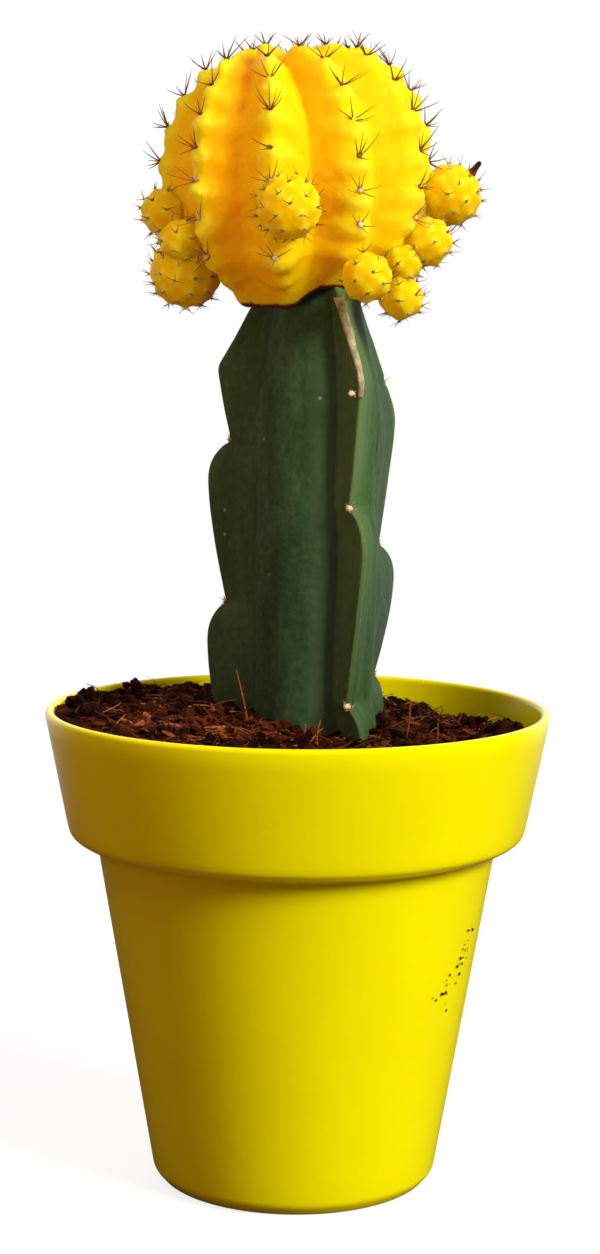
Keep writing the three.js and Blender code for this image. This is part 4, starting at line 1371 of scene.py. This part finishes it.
def make_ball(finish):
    s = np.linspace(0, OUTLINE_LENGTH, BALL_ROWS + 1)[1:-1]
    turns = np.linspace(0, RIB_COUNT, BALL_COLUMNS, endpoint=False)
    rings, furrow, swell = ball_point(turns[None, :], s[:, None])
    outward = rings - np.array([BALL_X, 0, BALL_WAIST_Z])
    outward /= np.linalg.norm(outward, axis=-1, keepdims=True)
    relief = BALL_RELIEF * crumple(rings, BALL_RELIEF_SIZE, 5)
    relief += TUBERCLE_RELIEF * mix(0.25, 1, swell) * crumple(rings, TUBERCLE_RELIEF_SIZE, 8, 2)
    neck, foot = (np.repeat(ease(s / OUTLINE_LENGTH, *place), BALL_COLUMNS) for place in (NECK, FOOT))
    shape = Shape()
    shape.skin(
        rings + outward * relief[..., None],
        # How orange: partly painted shade in the furrows.
        furrow=with_ends(furrow, 0.5, 0.5),
        # Paler on the tubercles' tops: partly a painted highlight.
        pale=with_ends(swell**2, 0.5, 0.5),
        neck=with_ends(neck, 0, 1),
        foot=with_ends(foot, 0, 1),
    )
    shape.object("ball_skin", finish, "scion")


def add_areole(wool, spines, number, at, normal, length, tuft, fan, pale, thickness=SPINE_RADIUS):
    """A woolly areole with a fan of spines."""
    n, up, side = frame_along(normal)
    add_tuft(wool, at, normal, tuft, tuft * 0.5, number, pale)
    for k, (turned, leaning, share) in enumerate(fan):
        a = math.radians(turned + 60 * (draw(number, k, 1) - 0.5))
        lean = leaning * (0.55 + 0.8 * draw(number, k, 2))
        outwards = spoke(up, side, a)
        direction = (n + outwards * lean).normalized()
        curl = (n * 0.2 + up * 0.2) * draw(number, k, 4) + side * (0.3 * (draw(number, k, 10) - 0.5))
        reach = length * share * (0.65 + 0.6 * draw(number, k, 5))
        root = at + outwards * (tuft * 0.35)
        radius = thickness * (0.8 + 0.35 * draw(number, k, 6))
        add_spine(spines, root, direction, curl, reach, radius, pale * 0.5)


def make_ball_areoles(wool_material, spine_material):
    wool = Shape()
    spines = Shape()
    for number, at, normal, s in ball_areoles():
        grown = float(ease(s, 3 * MM, 9 * MM))
        length = SPINE_LENGTH * mix(YOUNG_SPINE, 1, grown)
        tuft = mix(*TUFT_RADII, grown) * MM
        low = float(ease(s, 23 * MM, 6 * MM))
        pale = 0.1 * draw(number, 8) + low * (0.55 + 0.35 * draw(number, 9))
        fan = [spine for k, spine in enumerate(SPINE_FAN) if draw(number, k, 13) > MISSING_SPINES]
        add_areole(wool, spines, number, at, normal, length, tuft * (1 + 0.4 * low), fan, pale)
    wool.object("ball_areoles", wool_material, "scion")
    spines.object("ball_spines", spine_material, "scion")


# The offsets


def knob_directions(count):
    """Directions spread evenly over a ball in a spiral from its tip."""
    i = np.arange(count) + 0.5
    height = 1 - 2 * i / count
    turned = i * math.pi * (3 - math.sqrt(5))
    flat = np.sqrt(1 - height**2)
    return polar(flat, turned, height)


def make_offset(number, offset, finish, wool, spines):
    """One offset: a small ball of soft knobs, each with its areole."""
    x, y, z, radius = offset
    centre = Vector((x, y, z))
    n, up, side = frame_along(Vector((x - BALL_X, y, (z - OFFSET_AXIS_Z) * 0.8)))
    basis = np.array([side, up, n])
    knobs = knob_directions(max(12, round(4 * math.pi * radius**2 / KNOB_AREA)))
    away = np.linspace(0, math.pi, OFFSET_ROWS + 2)[1:-1, None]
    around = circle(OFFSET_COLUMNS)[None, :]
    local = polar(np.sin(away), around, np.cos(away))
    spread = math.sqrt(KNOB_AREA / math.pi) / radius
    apart = np.arccos(np.clip(local @ knobs.T, -1, 1)) / spread
    # Each knob is a soft swelling, and they run together where they meet.
    knob = 1 - np.exp(-(np.exp(-1.9 * apart**2)).sum(-1) ** 2 * 1.6)
    directions = local @ basis
    lumps = crumple(np.array(centre) + directions * radius, OFFSET_RELIEF_SIZE, 6 + number, 2)
    r = radius + KNOB_HEIGHT * (1.5 * knob - 0.6) + OFFSET_RELIEF * lumps
    shape = Shape()
    shape.skin(
        np.array(centre) + directions * r[..., None],
        # Orange in the creases between the knobs and paler on their tops: partly painted shade and a painted
        # highlight.
        furrow=with_ends(0.2 + 0.45 * (1 - knob), 0.4, 0.4),
        pale=with_ends(knob**1.5, 0.5, 0.5),
        neck=0.0,
        foot=0.0,
    )
    shape.object(f"offset_{number + 1:02d}", finish, "scion")
    for k, direction in enumerate(knobs @ basis):
        out = Vector(direction)
        at = centre + out * (radius + KNOB_HEIGHT * 0.75)
        if out.dot(n) < -0.35 or in_flesh(at, number):
            continue
        fan = [SPINE_FAN[(k + i * 3) % 5] for i in range(3)]
        pale = 0.15 + 0.85 * draw(number, k, 12) ** 2
        sizes = (OFFSET_SPINE_LENGTH, OFFSET_TUFT, fan, pale, OFFSET_SPINE_RADIUS)
        add_areole(wool, spines, 900 + number * 60 + k, at, out, *sizes)


def in_flesh(at, number):
    """Whether a point lies inside the ball or another offset."""
    r = math.hypot(at.x - BALL_X, at.y)
    inside = np.interp(at.z, LINE[:-3, 1][::-1], LINE[:-3, 0][::-1]) if at.z > 105 * MM else 0
    if r < inside - 0.6 * MM:
        return True
    return any((at - Vector(o[:3])).length < o[3] for i, o in enumerate(OFFSETS) if i != number)


def make_offsets(flesh, wool_material, spine_material):
    wool = Shape()
    spines = Shape()
    for number, offset in enumerate(OFFSETS):
        make_offset(number, offset, flesh, wool, spines)
    wool.object("offset_areoles", wool_material, "scion")
    spines.object("offset_spines", spine_material, "scion")


def make_stub():
    """The dry flower that still hangs on the right-hand offset."""
    sides = 10
    rings = []
    shares = np.linspace(1, 0, 14)
    n, up, side = frame_along(STUB_TO - STUB_FROM)
    for t in shares:
        centre = STUB_FROM.lerp(STUB_TO, t) + side * (0.12 * MM * math.sin(3 * t))
        radius = (0.26 + 0.13 * math.sin(math.pi * min(1.0, t * 1.15)) + 0.05 * (1 - t)) * MM
        radius *= 0.55 if t > 0.95 else 1.0
        ring = []
        for k in range(sides):
            a = TAU * k / sides
            fold = 1 + 0.22 * math.sin(3 * a + 5 * t)
            ring.append(centre + spoke(side, up, a) * (radius * fold))
        rings.append(ring)
    shape = Shape()
    shape.skin(rings, along=with_ends(np.repeat(shares, sides), 1, 0))
    shape.object("dry_flower", dry_flower_finish(), "scion")


# The stage


def make_floor():
    """A pale floor that fades out into the white around it."""
    bpy.ops.mesh.primitive_circle_add(vertices=128, radius=0.55, fill_type="NGON")
    floor = bpy.context.object
    floor.name = "floor"
    finish = Finish("pale_floor", Roughness=0.9, Specular_IOR_Level=0.0, Emission_Color=(1, 1, 1, 1))
    seen = finish.node("LightPath", {})["Is Camera Ray"]
    finish.put("Base Color", finish.blend(seen, (0.13, 0.08, 0.05, 1), (0.3, 0.3, 0.3, 1)))
    finish.put("Emission Strength", finish.span(seen, 0.0, 1.0, 0.0, 0.82))
    far = finish.node("VectorMath", {0: finish.place}, operation="LENGTH")["Value"]
    finish.put("Alpha", finish.span(far, 0.15, 0.5, 1.0, 0.0))
    floor.data.materials.append(finish.material)


def make_light(name, place, size, power, colour=(1, 1, 1), spread=180, height=70, shines=False):
    """A soft box that faces the plant at a height in mm; power is what a white card facing it would show.

    One that shines shows in the gloss alone, and the others light the surfaces alone.
    """
    target = Vector((0, 0, height * MM))
    place = Vector(place)
    light = bpy.data.lights.new(name, "AREA")
    light.shape = "RECTANGLE"
    light.size, light.size_y = size
    light.color = colour
    light.spread = math.radians(spread)
    light.energy = power * (math.pi * (place - target).length) ** 2
    lamp = new_object(name, light)
    lamp.location = place
    lamp.rotation_euler = (target - place).to_track_quat("-Z", "Y").to_euler()
    lamp.visible_glossy = shines
    lamp.visible_diffuse = not shines


def make_world():
    """White to look at, a dim warm room to be lit by, and a white wall behind that shows in the gloss."""
    world = bpy.data.worlds.new("studio")
    tree = Tree(world)
    ray = tree.node("LightPath", {})
    toward = tree.node("SeparateXYZ", {0: tree.node("TexCoord", {})["Generated"]})
    in_gloss = tree.blend(tree.span(toward["Y"], 0.45, 0.8), (0.02, 0.02, 0.02, 1), (1.2, 1.2, 1.2, 1))
    room = tree.blend(tree.span(toward["Z"], 0.2, 0.9), AMBIENT, OVERHEAD)
    lit_by = tree.blend(ray["Is Glossy Ray"], room, in_gloss)
    shown = tree.blend(ray["Is Camera Ray"], lit_by, (1, 1, 1, 1))
    tree.join(tree.nodes["Background"].inputs["Color"], shown)
    bpy.context.scene.world = world


def make_camera():
    camera = bpy.data.cameras.new("camera")
    camera.sensor_fit = "VERTICAL"
    camera.sensor_height = SENSOR * 1000
    camera.lens = FOCAL_PIXELS / PHOTO_HEIGHT * camera.sensor_height
    camera.clip_start = 0.01
    holder = new_object("camera", camera)
    pitch = Matrix.Rotation(math.pi / 2 - CAMERA_PITCH, 4, "X")
    roll = Matrix.Rotation(CAMERA_ROLL, 4, "Z")
    holder.matrix_world = Matrix.Translation(CAMERA_PLACE) @ pitch @ roll
    bpy.context.scene.camera = holder


def make_stage():
    make_camera()
    make_floor()
    make_world()
    make_light("key", (0.76, -0.62, 0.62), (0.4, 0.4), 1.36, (1, 0.9, 0.75))
    make_light("fill", (-0.28, -0.16, 0.8), (0.5, 0.5), 0.25, (1, 0.72, 0.5))
    make_light("glow", (-0.12, -0.14, 0.09), (0.05, 0.05), 0.017, (1, 0.62, 0.3), spread=36, height=122)
    make_light("bounce", (-0.16, -0.08, 0.08), (0.05, 0.05), 0.009, (1, 0.36, 0.1), spread=60, height=56)
    make_light("shine", (0.76, -0.62, 0.62), (0.7, 0.9), 0.06, shines=True)
    make_light("back", (-0.2, 0.9, 0.5), (0.6, 0.4), 0.25)
    view = bpy.context.scene.view_settings
    view.view_transform = "Standard"
    view.look = "None"


def make_plant():
    flesh = flesh_finish()
    wool = wool_finish()
    spine = spine_finish()
    make_stem()
    make_scar()
    make_stem_areoles()
    make_ball(flesh)
    make_ball_areoles(wool, spine)
    make_offsets(flesh, wool, spine)
    make_stub()


make_stage()
make_pot()
make_specks()
make_soil()
make_clods()
make_chips()
make_fibres()
make_plant()
